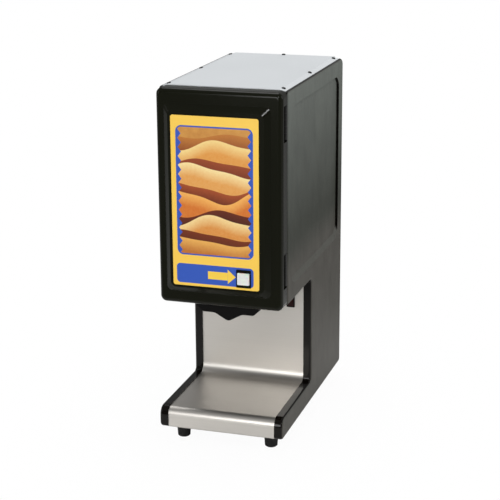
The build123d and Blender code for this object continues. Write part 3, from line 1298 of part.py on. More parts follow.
# Bag rack: a sloped sheet shelf between two side plates that stand on the cavity floor
RACK_Y = (LINER_Y[0] + RACK_FRONT_INSET, BAFFLE_Y - RACK_REAR_GAP)
RACK_STAND_Z = CAVITY_Z + LINER_WALL
RACK_FLOOR_Z = CAVITY_Z + RACK_FLOOR_RISE
RACK_TOP_Z = RACK_FLOOR_Z + RACK_SLOPE_RISE
RACK_KNEE_Y = RACK_Y[0] + RACK_LEVEL_LENGTH
NECK_SLOT = 2 * (FITMENT_NECK_RADIUS + SCREW_CLEARANCE)
with BuildPart() as bag_rack:
    with BuildSketch(Plane.YZ.offset(-RACK_HALF_WIDTH)):
        with BuildLine():
            FilletPolyline(
                (RACK_Y[0], RACK_FLOOR_Z + RACK_LIP),
                (RACK_Y[0], RACK_FLOOR_Z),
                (RACK_KNEE_Y, RACK_FLOOR_Z),
                (RACK_Y[1], RACK_TOP_Z),
                (RACK_Y[1], RACK_TOP_Z + RACK_LIP),
                radius=(FOLD_RADIUS, 2 * COVE_RADIUS, FOLD_RADIUS),
            )
            offset(amount=SHEET, side=Side.LEFT)
        make_face()
    extrude(amount=2 * RACK_HALF_WIDTH)
    with BuildSketch(Plane.YZ.offset(-RACK_HALF_WIDTH)):
        with BuildLine():
            Polyline(
                (RACK_Y[0], RACK_STAND_Z),
                (RACK_Y[1], RACK_STAND_Z),
                (RACK_Y[1], RACK_TOP_Z + RACK_SIDE),
                (RACK_KNEE_Y, RACK_FLOOR_Z + RACK_SIDE),
                (RACK_Y[0], RACK_FLOOR_Z + RACK_LIP),
                close=True,
            )
        make_face()
        with BuildLine():
            Polyline(
                (RACK_KNEE_Y + RACK_LIP, RACK_STAND_Z + RACK_LIP / 2),
                (RACK_Y[1] - RACK_LIP, RACK_STAND_Z + RACK_LIP / 2),
                (RACK_Y[1] - RACK_LIP, RACK_TOP_Z - RACK_LIP),
                close=True,
            )
        make_face(mode=Mode.SUBTRACT)
    extrude(amount=SHEET)
    mirror(about=Plane.YZ)
    block(
        (-NECK_SLOT / 2, NECK_SLOT / 2),
        (RACK_Y[0] - SHEET, PUMP_Y),
        (RACK_FLOOR_Z - SHEET, RACK_FLOOR_Z + 2 * RACK_LIP),
        mode=Mode.SUBTRACT,
    )
    with Locations((0, PUMP_Y, RACK_FLOOR_Z)):
        Cylinder(NECK_SLOT / 2, 4 * SHEET, mode=Mode.SUBTRACT)
    with BuildSketch(Plane.XY.offset(RACK_FLOOR_Z - SHEET)):
        with Locations((0, (RACK_KNEE_Y + RACK_Y[1]) / 2 + RACK_LIP)):
            with GridLocations(RACK_HALF_WIDTH / 3, 0, 5, 1):
                SlotOverall((RACK_Y[1] - RACK_KNEE_Y) / 2, RACK_SLOT_WIDTH, rotation=90)
    extrude(amount=RACK_SLOPE_RISE, mode=Mode.SUBTRACT)
bag_rack.part.label = "bag_rack"
export_step(bag_rack.part, "parts/bag_rack.step")

# Bag fitment: the flanged connector that rests in the rack's slot and holds the tube
TUBE_TOP_Z = RACK_FLOOR_Z - SHEET
with BuildPart() as bag_fitment:
    with Locations((0, PUMP_Y, RACK_FLOOR_Z + SHEET)):
        Cylinder(FITMENT_FLANGE_RADIUS, FITMENT_FLANGE, align=(Align.CENTER, Align.CENTER, Align.MIN))
        Cylinder(
            FITMENT_NECK_RADIUS,
            FITMENT_FLANGE + FITMENT_NECK,
            align=(Align.CENTER, Align.CENTER, Align.MIN),
        )
    with Locations((0, PUMP_Y, TUBE_TOP_Z)):
        Cylinder(FITMENT_NECK_RADIUS, 3 * SHEET, align=(Align.CENTER, Align.CENTER, Align.MIN))
        Cylinder(TUBE_RADIUS - TUBE_WALL, 2 * FITMENT_NECK)
    with Locations((0, PUMP_Y, RACK_FLOOR_Z)):
        Cylinder(TUBE_RADIUS - 2 * TUBE_WALL, 8 * FITMENT_NECK, mode=Mode.SUBTRACT)
bag_fitment.part.label = "bag_fitment"
export_step(bag_fitment.part, "parts/bag_fitment.step")

# Dispensing tube: squeezed flat round the rotor, bent back to the middle and round at its ends
SWEEP = radians(TUBE_SWEEP_HALF)
BEND_Z = (TUBE_LINE_RADIUS + TUBE_BEND_RADIUS) * sin(SWEEP)
ROTOR_X = (TUBE_LINE_RADIUS + TUBE_BEND_RADIUS) * cos(SWEEP) - TUBE_BEND_RADIUS
TUBE_TIP_Z = BOX_Z - SHROUD_TIP_DROP + TUBE_END_ABOVE_TIP


def flat_section(x, z):
    """The squeezed tube's section, lying in a level plane."""
    with BuildSketch(Plane.XY.offset(z)) as section:
        with Locations((x, PUMP_Y)):
            SlotOverall(TUBE_FLAT_WIDTH, TUBE_FLAT_THICK, rotation=90)
    return section.sketch


def round_section(z):
    """The free tube's section, lying in a level plane."""
    with BuildSketch(Plane.XY.offset(z)) as section:
        with Locations((0, PUMP_Y)):
            Circle(TUBE_RADIUS)
    return section.sketch


with BuildPart() as dispensing_tube:
    revolve(
        flat_section(ROTOR_X - TUBE_LINE_RADIUS, PUMP_Z),
        axis=Axis((ROTOR_X, PUMP_Y, PUMP_Z), (0, 1, 0)),
        revolution_arc=TUBE_SWEEP_HALF,
    )
    revolve(
        flat_section(0, PUMP_Z + BEND_Z),
        axis=Axis((-TUBE_BEND_RADIUS, PUMP_Y, PUMP_Z + BEND_Z), (0, 1, 0)),
        revolution_arc=TUBE_SWEEP_HALF,
    )
    loft([flat_section(0, PUMP_Z + BEND_Z), round_section(PUMP_Z + BEND_Z + TUBE_BLEND)])
    mirror(about=Plane.XY.offset(PUMP_Z))
    for low, high in (
        (PUMP_Z + BEND_Z + TUBE_BLEND, TUBE_TOP_Z),
        (TUBE_TIP_Z, PUMP_Z - BEND_Z - TUBE_BLEND),
    ):
        with Locations((0, PUMP_Y, low)):
            Cylinder(TUBE_RADIUS, high - low, align=(Align.CENTER, Align.CENTER, Align.MIN))
            Cylinder(
                TUBE_RADIUS - TUBE_WALL,
                high - low,
                align=(Align.CENTER, Align.CENTER, Align.MIN),
                mode=Mode.SUBTRACT,
            )
dispensing_tube.part.label = "dispensing_tube"
export_step(dispensing_tube.part, "parts/dispensing_tube.step")

# Pump housing: the back plate with the guide rods' post and a guard round the rotor's free side
PLATE_FRONT_Y = PUMP_Y + ROLLER_LENGTH / 2 + FIT + ROTOR_PLATE + PUMP_PLATE_GAP
PLATE_REAR_Y = PLATE_FRONT_Y + PUMP_PLATE
TRACK_RADIUS = TUBE_LINE_RADIUS + TUBE_FLAT_THICK / 2 + FIT
JAW_X = (ROTOR_X - JAW_LEFT, ROTOR_X - JAW_RIGHT)
POST_X = (JAW_X[0] - JAW_TRAVEL - JAW_POST_GAP - JAW_POST, JAW_X[0] - JAW_TRAVEL - JAW_POST_GAP)
GUARD_OUTER = GUARD_RADIUS + GUARD_WALL
HOUSING_X = (POST_X[0] - JAW_POST_GAP, ROTOR_X + GUARD_OUTER + GUARD_WALL)
HOUSING_Z = (SOFFIT_TOP_Z + FIT, CAVITY_Z - FIT)
GEARBOX_SCREWS = [
    (ROTOR_X + s * GEARBOX_SCREW_SPREAD, PUMP_Z + t * GEARBOX_SCREW_SPREAD) for s in (-1, 1) for t in (-1, 1)
]
with BuildPart() as pump_housing:
    with BuildSketch(across(PLATE_REAR_Y)):
        with Locations(((HOUSING_X[0] + HOUSING_X[1]) / 2, (HOUSING_Z[0] + HOUSING_Z[1]) / 2)):
            RectangleRounded(HOUSING_X[1] - HOUSING_X[0], HOUSING_Z[1] - HOUSING_Z[0], PUMP_PLATE_RADIUS)
    extrude(amount=PUMP_PLATE)
    block(
        POST_X,
        (PUMP_Y - JAW_DEPTH / 2, PLATE_FRONT_Y),
        (PUMP_Z - JAW_HALF_HEIGHT, PUMP_Z + JAW_HALF_HEIGHT),
    )
    fillet(
        pump_housing.edges().filter_by(Axis.Y).group_by(Axis.X)[1],
        PANEL_WALL,
    )
    with BuildSketch(across(PLATE_FRONT_Y)):
        with Locations((ROTOR_X, PUMP_Z)):
            Circle(GUARD_OUTER)
            Circle(GUARD_RADIUS, mode=Mode.SUBTRACT)
        with Locations((ROTOR_X + ROTOR_HUB_RADIUS + GUARD_OUTER / 2, PUMP_Z)):
            Rectangle(GUARD_OUTER, 2 * GUARD_OUTER, mode=Mode.INTERSECT)
    extrude(amount=PLATE_FRONT_Y - PUMP_Y + JAW_DEPTH / 2)
    rod(
        DRIVE_SHAFT_RADIUS + SHAFT_CLEARANCE,
        ROTOR_X,
        PUMP_Z,
        (PLATE_FRONT_Y - FIT, PLATE_REAR_Y + FIT),
        Mode.SUBTRACT,
    )
    for s in (-1, 1):
        side_rod(
            GUIDE_ROD_RADIUS,
            (POST_X[0] - FIT, POST_X[1] + FIT),
            PUMP_Y,
            PUMP_Z + s * GUIDE_ROD_SPREAD,
            mode=Mode.SUBTRACT,
        )
    for x, z in GEARBOX_SCREWS:
        with BuildSketch(across(PLATE_FRONT_Y)):
            with Locations((x, z)):
                Circle(SCREW_HEAD_RADIUS)
        extrude(amount=-(SCREW_HEAD_RADIUS - SCREW_RADIUS), taper=45, mode=Mode.SUBTRACT)
        rod(SCREW_RADIUS + RUNNING_FIT, x, z, (PLATE_FRONT_Y, PLATE_REAR_Y), Mode.SUBTRACT)
pump_housing.part.label = "pump_housing"
export_step(pump_housing.part, "parts/pump_housing.step")

# Guide rods for the sliding jaw
with BuildPart() as jaw_guide_rods:
    for s in (-1, 1):
        side_rod(
            GUIDE_ROD_RADIUS,
            (POST_X[0], ROTOR_X - GUIDE_ROD_END),
            PUMP_Y,
            PUMP_Z + s * GUIDE_ROD_SPREAD,
        )
jaw_guide_rods.part.label = "jaw_guide_rods"
export_step(jaw_guide_rods.part, "parts/jaw_guide_rods.step")

# Pump jaw: the sliding track that holds the tube against the rollers, with a finger tab
with BuildPart() as pump_jaw:
    with BuildSketch(across(PUMP_Y + JAW_DEPTH / 2)):
        with Locations(((JAW_X[0] + JAW_X[1]) / 2, PUMP_Z)):
            RectangleRounded(JAW_X[1] - JAW_X[0], 2 * JAW_HALF_HEIGHT, EDGE_BREAK)
        with Locations((ROTOR_X, PUMP_Z)):
            Circle(TRACK_RADIUS, mode=Mode.SUBTRACT)
    extrude(amount=JAW_DEPTH)
    with BuildSketch(Plane.YZ.offset(JAW_X[0])):
        with Locations((PUMP_Y - JAW_DEPTH / 2 - JAW_TAB_REACH / 2, PUMP_Z)):
            Rectangle(JAW_TAB_REACH + 2 * RACK_SLOT_WIDTH, JAW_HALF_HEIGHT)
    extrude(amount=JAW_TAB_THICK)
    for s in (-1, 1):
        side_rod(
            GUIDE_ROD_RADIUS + RUNNING_FIT,
            (JAW_X[0] - FIT, ROTOR_X - GUIDE_ROD_END + JAW_TRAVEL + JAW_POST_GAP),
            PUMP_Y,
            PUMP_Z + s * GUIDE_ROD_SPREAD,
            mode=Mode.SUBTRACT,
        )
pump_jaw.part.label = "pump_jaw"
export_step(pump_jaw.part, "parts/pump_jaw.step")

# Pump plate: the sheet across the box that carries the pump and its gearmotor
PUMP_SHEET_REAR_Y = PLATE_REAR_Y + PUMP_SHEET
with BuildPart() as pump_plate:
    block(
        (-SHEET_X, SHEET_X),
        (PLATE_REAR_Y, PUMP_SHEET_REAR_Y),
        (BOX_Z + COVER_FLANGE + FIT, CAVITY_Z - FIT),
    )
    block(
        (-SHEET_X + 2 * SHEET, SHEET_X - 2 * SHEET),
        (PLATE_REAR_Y, PUMP_SHEET_REAR_Y),
        (SOFFIT_TOP_Z, CAVITY_Z - FIT),
    )
    rod(
        DRIVE_SHAFT_RADIUS + SHAFT_CLEARANCE,
        ROTOR_X,
        PUMP_Z,
        (PLATE_REAR_Y - FIT, PUMP_SHEET_REAR_Y + FIT),
        Mode.SUBTRACT,
    )
    for x, z in GEARBOX_SCREWS:
        rod(
            SCREW_RADIUS + RUNNING_FIT,
            x,
            z,
            (PLATE_REAR_Y - FIT, PUMP_SHEET_REAR_Y + FIT),
            Mode.SUBTRACT,
        )
pump_plate.part.label = "pump_plate"
export_step(pump_plate.part, "parts/pump_plate.step")

# Gearmotor: the square gearbox with its motor behind
GEARBOX_REAR_Y = PUMP_SHEET_REAR_Y + GEARBOX_DEPTH
MOTOR_REAR_Y = GEARBOX_REAR_Y + MOTOR_LENGTH
SHAFT_REAR_Y = GEARBOX_REAR_Y - PANEL_WALL
with BuildPart() as gearmotor:
    with BuildSketch(across(GEARBOX_REAR_Y)):
        with Locations((ROTOR_X, PUMP_Z)):
            RectangleRounded(GEARBOX_WIDTH, GEARBOX_WIDTH, PUMP_PLATE_RADIUS)
    extrude(amount=GEARBOX_DEPTH)
    rod(MOTOR_RADIUS, ROTOR_X, PUMP_Z, (GEARBOX_REAR_Y, MOTOR_REAR_Y))
    chamfer(gearmotor.faces().sort_by(Axis.Y)[-1].edges(), PANEL_WALL)
    rod(MOTOR_CAP_RADIUS, ROTOR_X, PUMP_Z, (MOTOR_REAR_Y - FIT, MOTOR_REAR_Y + MOTOR_CAP_DEPTH))
    rod(
        DRIVE_SHAFT_RADIUS + RUNNING_FIT,
        ROTOR_X,
        PUMP_Z,
        (PUMP_SHEET_REAR_Y - FIT, SHAFT_REAR_Y + FIT),
        Mode.SUBTRACT,
    )
    for x, z in GEARBOX_SCREWS:
        rod(SCREW_RADIUS, x, z, (PUMP_SHEET_REAR_Y - FIT, PUMP_SHEET_REAR_Y + SCREW_LENGTH), Mode.SUBTRACT)
gearmotor.part.label = "gearmotor"
export_step(gearmotor.part, "parts/gearmotor.step")

with BuildPart() as gearmotor_screws:
    for x, z in GEARBOX_SCREWS:
        with BuildSketch(across(PLATE_FRONT_Y)):
            with Locations((x, z)):
                Circle(SCREW_HEAD_RADIUS - RUNNING_FIT)
        extrude(amount=-(SCREW_HEAD_RADIUS - SCREW_RADIUS), taper=45)
        rod(SCREW_RADIUS - RUNNING_FIT, x, z, (PLATE_FRONT_Y, PUMP_SHEET_REAR_Y + SCREW_LENGTH - SCREW_HEAD))
gearmotor_screws.part.label = "gearmotor_screws"
export_step(gearmotor_screws.part, "parts/gearmotor_screws.step")

# Drive shaft: from the gearbox through the rotor
ROTOR_HALF = ROLLER_LENGTH / 2 + FIT + ROTOR_PLATE
with BuildPart() as drive_shaft:
    rod(DRIVE_SHAFT_RADIUS, ROTOR_X, PUMP_Z, (PUMP_Y - ROTOR_HALF, SHAFT_REAR_Y))
drive_shaft.part.label = "drive_shaft"
export_step(drive_shaft.part, "parts/drive_shaft.step")

# Pump rotor: two plates on a hub, with windows between the rollers
ROLLER_PITCH_RADIUS = TUBE_LINE_RADIUS - TUBE_FLAT_THICK / 2 - FIT - ROLLER_RADIUS
ROLLER_ANGLES = [90 + 360 * i / ROLLERS for i in range(ROLLERS)]
ROLLER_PLACES = [
    (ROTOR_X + ROLLER_PITCH_RADIUS * cos(radians(a)), PUMP_Z + ROLLER_PITCH_RADIUS * sin(radians(a)))
    for a in ROLLER_ANGLES
]
WINDOW_PLACES = [(2 * ROTOR_X - x, 2 * PUMP_Z - z) for x, z in ROLLER_PLACES]
with BuildPart() as pump_rotor:
    for front in (PUMP_Y - ROTOR_HALF, PUMP_Y + ROTOR_HALF - ROTOR_PLATE):
        rod(ROTOR_PLATE_RADIUS, ROTOR_X, PUMP_Z, (front, front + ROTOR_PLATE))
    rod(ROTOR_HUB_RADIUS, ROTOR_X, PUMP_Z, (PUMP_Y - ROTOR_HALF, PUMP_Y + ROTOR_HALF))
    rod(DRIVE_SHAFT_RADIUS, ROTOR_X, PUMP_Z, (PUMP_Y - ROTOR_HALF, PUMP_Y + ROTOR_HALF), Mode.SUBTRACT)
    for x, z in ROLLER_PLACES:
        rod(ROLLER_PIN_RADIUS, x, z, (PUMP_Y - ROTOR_HALF, PUMP_Y + ROTOR_HALF), Mode.SUBTRACT)
    for x, z in WINDOW_PLACES:
        rod(ROTOR_WINDOW_RADIUS, x, z, (PUMP_Y - ROTOR_HALF, PUMP_Y + ROTOR_HALF), Mode.SUBTRACT)
pump_rotor.part.label = "pump_rotor"
export_step(pump_rotor.part, "parts/pump_rotor.step")

with BuildPart() as roller_pins:
    for x, z in ROLLER_PLACES:
        rod(ROLLER_PIN_RADIUS, x, z, (PUMP_Y - ROTOR_HALF, PUMP_Y + ROTOR_HALF))
roller_pins.part.label = "roller_pins"
export_step(roller_pins.part, "parts/roller_pins.step")

with BuildPart() as rotor_retainer:
    rod(RETAINER_RADIUS, ROTOR_X, PUMP_Z, (PUMP_Y - ROTOR_HALF - RETAINER_DEPTH, PUMP_Y - ROTOR_HALF))
    chamfer(rotor_retainer.faces().sort_by(Axis.Y)[0].edges(), EDGE_BREAK)
    block(
        (ROTOR_X - RETAINER_RADIUS, ROTOR_X + RETAINER_RADIUS),
        (PUMP_Y - ROTOR_HALF - RETAINER_DEPTH, PUMP_Y - ROTOR_HALF - RETAINER_DEPTH / 2),
        (PUMP_Z - RETAINER_SLOT / 2, PUMP_Z + RETAINER_SLOT / 2),
        mode=Mode.SUBTRACT,
    )
rotor_retainer.part.label = "rotor_retainer"
export_step(rotor_retainer.part, "parts/rotor_retainer.step")

# Rollers: one for each pin
for i, (x, z) in enumerate(ROLLER_PLACES, start=1):
    with BuildPart() as roller:
        rod(ROLLER_RADIUS, x, z, (PUMP_Y - ROLLER_LENGTH / 2, PUMP_Y + ROLLER_LENGTH / 2))
        chamfer(roller.faces().filter_by(Axis.Y).edges(), EDGE_BREAK)
        rod(
            ROLLER_PIN_RADIUS + RUNNING_FIT,
            x,
            z,
            (PUMP_Y - ROLLER_LENGTH / 2, PUMP_Y + ROLLER_LENGTH / 2),
            Mode.SUBTRACT,
        )
    roller.part.label = f"pump_roller_{i}"
    export_step(roller.part, f"parts/pump_roller_{i}.step")

# Door catch: a magnet on the front frame and a steel strike on the door liner
CATCH_Z = (BOX_Z + CATCH_RISE, BOX_Z + CATCH_RISE + CATCH_HEIGHT)
CATCH_XS = (CATCH_X - CATCH_WIDTH / 2, CATCH_X + CATCH_WIDTH / 2)
with BuildPart() as catch_strike:
    block(CATCH_XS, (LINER_REAR_Y, LINER_REAR_Y + STRIKE_THICK), CATCH_Z)
catch_strike.part.label = "catch_strike"
export_step(catch_strike.part, "parts/catch_strike.step")

with BuildPart() as catch_magnet:
    block(CATCH_XS, (LINER_REAR_Y + STRIKE_THICK + FIT, FRAME_Y), CATCH_Z)
catch_magnet.part.label = "catch_magnet"
export_step(catch_magnet.part, "parts/catch_magnet.step")

# Control board on standoffs inside the rear cover
BOARD_Y = REAR_INNER_Y - BOARD_STANDOFF
BOARD_Z = BASE_Z + BOARD_RISE
with BuildPart() as board_standoffs:
    for x in (-1, 1):
        for z in (-1, 1):
            rod(
                STANDOFF_RADIUS,
                x * (BOARD_WIDTH / 2 - 2 * STANDOFF_RADIUS),
                BOARD_Z + z * (BOARD_HEIGHT / 2 - 2 * STANDOFF_RADIUS),
                (BOARD_Y, REAR_INNER_Y),
            )
board_standoffs.part.label = "board_standoffs"
export_step(board_standoffs.part, "parts/board_standoffs.step")

with BuildPart() as control_board:
    with BuildSketch(across(BOARD_Y)):
        with Locations((0, BOARD_Z)):
            RectangleRounded(BOARD_WIDTH, BOARD_HEIGHT, STANDOFF_RADIUS)
    extrude(amount=BOARD_THICK)
    with BuildSketch(across(BOARD_Y - BOARD_THICK)):
        with Locations((0, BOARD_Z)):
            with GridLocations(RELAY_PITCH, 0, RELAYS, 1):
                Rectangle(RELAY_WIDTH, RELAY_HEIGHT)
    extrude(amount=RELAY_DEPTH)
control_board.part.label = "control_board"
export_step(control_board.part, "parts/control_board.step")

# Transformer and terminal block on the base plate
TRANSFORMER_Y = REAR_Y - TRANSFORMER_FROM_REAR
FLOOR_Z = BASE_Z + SHEET
with BuildPart() as transformer:
    with BuildSketch(Plane.XY.offset(FLOOR_Z)):
        with Locations((TRANSFORMER_X, TRANSFORMER_Y)):
            Rectangle(CORE_WIDTH, CORE_DEPTH)
    extrude(amount=CORE_HEIGHT)
    with BuildSketch(Plane.XY.offset(FLOOR_Z + COIL_OVERHANG)):
        with Locations((TRANSFORMER_X, TRANSFORMER_Y)):
            RectangleRounded(CORE_WIDTH - 2 * COIL_OVERHANG, CORE_DEPTH + 2 * COIL_OVERHANG, COIL_OVERHANG)
    extrude(amount=CORE_HEIGHT - 2 * COIL_OVERHANG)
transformer.part.label = "transformer"
export_step(transformer.part, "parts/transformer.step")

TERMINAL_Y = REAR_Y - TERMINAL_FROM_REAR
POLE_PITCH = TERMINAL_WIDTH / TERMINAL_POLES
with BuildPart() as terminal_block:
    with BuildSketch(Plane.XY.offset(FLOOR_Z)):
        with Locations((TERMINAL_BLOCK_X, TERMINAL_Y)):
            Rectangle(TERMINAL_WIDTH, TERMINAL_DEPTH)
    extrude(amount=TERMINAL_HEIGHT)
    with BuildSketch(Plane.XY.offset(FLOOR_Z + TERMINAL_HEIGHT)):
        with Locations((TERMINAL_BLOCK_X, TERMINAL_Y)):
            with GridLocations(POLE_PITCH, TERMINAL_DEPTH / 2, TERMINAL_POLES, 2):
                Rectangle(POLE_PITCH - 2 * SHEET, TERMINAL_DEPTH / 2 - 2 * SHEET)
    extrude(amount=-TERMINAL_HEIGHT / 3, mode=Mode.SUBTRACT)
terminal_block.part.label = "terminal_block"
export_step(terminal_block.part, "parts/terminal_block.step")

# Thermostat with its probe in the fan chamber, and the high-limit switch, under the cavity floor
with BuildPart() as thermostat:
    block(
        (THERMOSTAT_X - THERMOSTAT_WIDTH / 2, THERMOSTAT_X + THERMOSTAT_WIDTH / 2),
        (HEATER_Y - THERMOSTAT_WIDTH / 2, HEATER_Y + THERMOSTAT_WIDTH / 2),
        (CAVITY_Z - THERMOSTAT_HEIGHT, CAVITY_Z),
    )
    fillet(thermostat.edges().filter_by(Axis.Z), PANEL_WALL)
    with Locations((THERMOSTAT_X, HEATER_Y, CAVITY_Z)):
        Cylinder(PROBE_RADIUS, PROBE_LENGTH, align=(Align.CENTER, Align.CENTER, Align.MIN))
thermostat.part.label = "thermostat"
export_step(thermostat.part, "parts/thermostat.step")

with BuildPart() as high_limit_switch:
    with Locations((-THERMOSTAT_X, HEATER_Y, CAVITY_Z - HIGH_LIMIT_HEIGHT)):
        Cylinder(HIGH_LIMIT_RADIUS, HIGH_LIMIT_HEIGHT, align=(Align.CENTER, Align.CENTER, Align.MIN))
    for tab_x in (-THERMOSTAT_X - HIGH_LIMIT_RADIUS / 2, -THERMOSTAT_X + HIGH_LIMIT_RADIUS / 2):
        block(
            (tab_x - SPADE_THICK / 2, tab_x + SPADE_THICK / 2),
            (HEATER_Y - SPADE_WIDTH / 2, HEATER_Y + SPADE_WIDTH / 2),
            (CAVITY_Z - 2 * HIGH_LIMIT_HEIGHT, CAVITY_Z - HIGH_LIMIT_HEIGHT),
        )
high_limit_switch.part.label = "high_limit_switch"
export_step(high_limit_switch.part, "parts/high_limit_switch.step")
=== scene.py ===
"""Heated food dispenser: finishes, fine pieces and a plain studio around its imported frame.

Sizes are in metres in the frame's own axes: X to the viewer's right, Y to the rear, Z up.
"""

import logging
import math
from dataclasses import dataclass
from enum import Enum
from typing import Any, Callable, Sequence

import bmesh
import bpy
from mathutils import Matrix, Vector


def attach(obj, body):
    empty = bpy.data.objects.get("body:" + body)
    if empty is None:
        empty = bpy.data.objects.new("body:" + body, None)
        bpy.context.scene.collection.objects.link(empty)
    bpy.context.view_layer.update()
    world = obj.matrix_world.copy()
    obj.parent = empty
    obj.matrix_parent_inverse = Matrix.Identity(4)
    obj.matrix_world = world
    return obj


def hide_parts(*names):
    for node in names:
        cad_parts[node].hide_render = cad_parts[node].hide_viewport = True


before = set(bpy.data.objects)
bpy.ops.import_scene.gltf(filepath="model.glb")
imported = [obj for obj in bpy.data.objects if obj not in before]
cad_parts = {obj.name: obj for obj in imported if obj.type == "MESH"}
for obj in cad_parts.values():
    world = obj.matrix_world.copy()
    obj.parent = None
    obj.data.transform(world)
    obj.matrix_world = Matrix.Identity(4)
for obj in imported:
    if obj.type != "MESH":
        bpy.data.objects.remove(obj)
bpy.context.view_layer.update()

log = logging.getLogger("dispenser")

Point = tuple[float, float, float]
Span = tuple[float, float]
Colour = tuple[float, float, float, float]
MM = 0.001
TOUCH = 0.01 * MM
TWIST = 1.9


class Domain(Enum):
    """What a selection in edit mode is made of."""

    FACE = "FACE"
    EDGE = "EDGE"
    VERTEX = "VERT"


def tint(code: str, share: float = 1.0) -> Colour:
    """Turn a display colour into the linear colour that a shader takes.

    Args:
        code: Six hexadecimal digits after a hash sign.
        share: How much of its light is left.

    Returns:
        The linear colour with full alpha.
    """
    parts = [int(code[i : i + 2], 16) / 255 for i in (1, 3, 5)]
    red, green, blue = (p / 12.92 if p <= 0.04045 else ((p + 0.055) / 1.055) ** 2.4 for p in parts)
    return (red * share, green * share, blue * share, 1.0)


# ---------------------------------------------------------------- shader recipes


class Signal:
    """One output socket, used as a number in a Python expression."""

    def __init__(self, recipe: "Recipe", socket: bpy.types.NodeSocket) -> None:
        """Hold the socket and the recipe that it belongs to."""
        self.recipe = recipe
        self.socket = socket

    def math(self, operation: str, *others: Any, clamp: bool = False) -> "Signal":
        """Add a Math node that starts with this signal.

        Args:
            operation: The Math node's operation.
            others: The further operands, numbers or signals.
            clamp: Whether the result is kept from 0 to 1.

        Returns:
            The node's result.
        """
        operands = dict(enumerate((self, *others)))
        return self.recipe.node("ShaderNodeMath", {"operation": operation, "use_clamp": clamp}, operands)

    def __add__(self, other: Any) -> "Signal":
        """Sum."""
        return self.math("ADD", other)

    __radd__ = __add__

    def __mul__(self, other: Any) -> "Signal":
        """Product."""
        return self.math("MULTIPLY", other)

    __rmul__ = __mul__

    def __sub__(self, other: Any) -> "Signal":
        """Difference."""
        return self.math("SUBTRACT", other)

    def __rsub__(self, other: Any) -> "Signal":
        """Difference from a number."""
        return self.math("MULTIPLY_ADD", -1.0, other)

    def __abs__(self) -> "Signal":
        """Size without sign."""
        return self.math("ABSOLUTE")

    def least(self, other: Any) -> "Signal":
        """The smaller of two values."""
        return self.math("MINIMUM", other)

    def most(self, other: Any) -> "Signal":
        """The larger of two values."""
        return self.math("MAXIMUM", other)

    def sine(self) -> "Signal":
        """The sine of the value in radians."""
        return self.math("SINE")

    def wedge(self, pitch: float) -> "Signal":
        """A sawtooth that climbs and falls between 0 and half its pitch."""
        return self.math("PINGPONG", pitch / 2)

    def fade(self, start: float, end: float) -> "Signal":
        """A ramp from 0 at start to 1 at end, level beyond both."""
        return (self - start).math("DIVIDE", end - start, clamp=True)


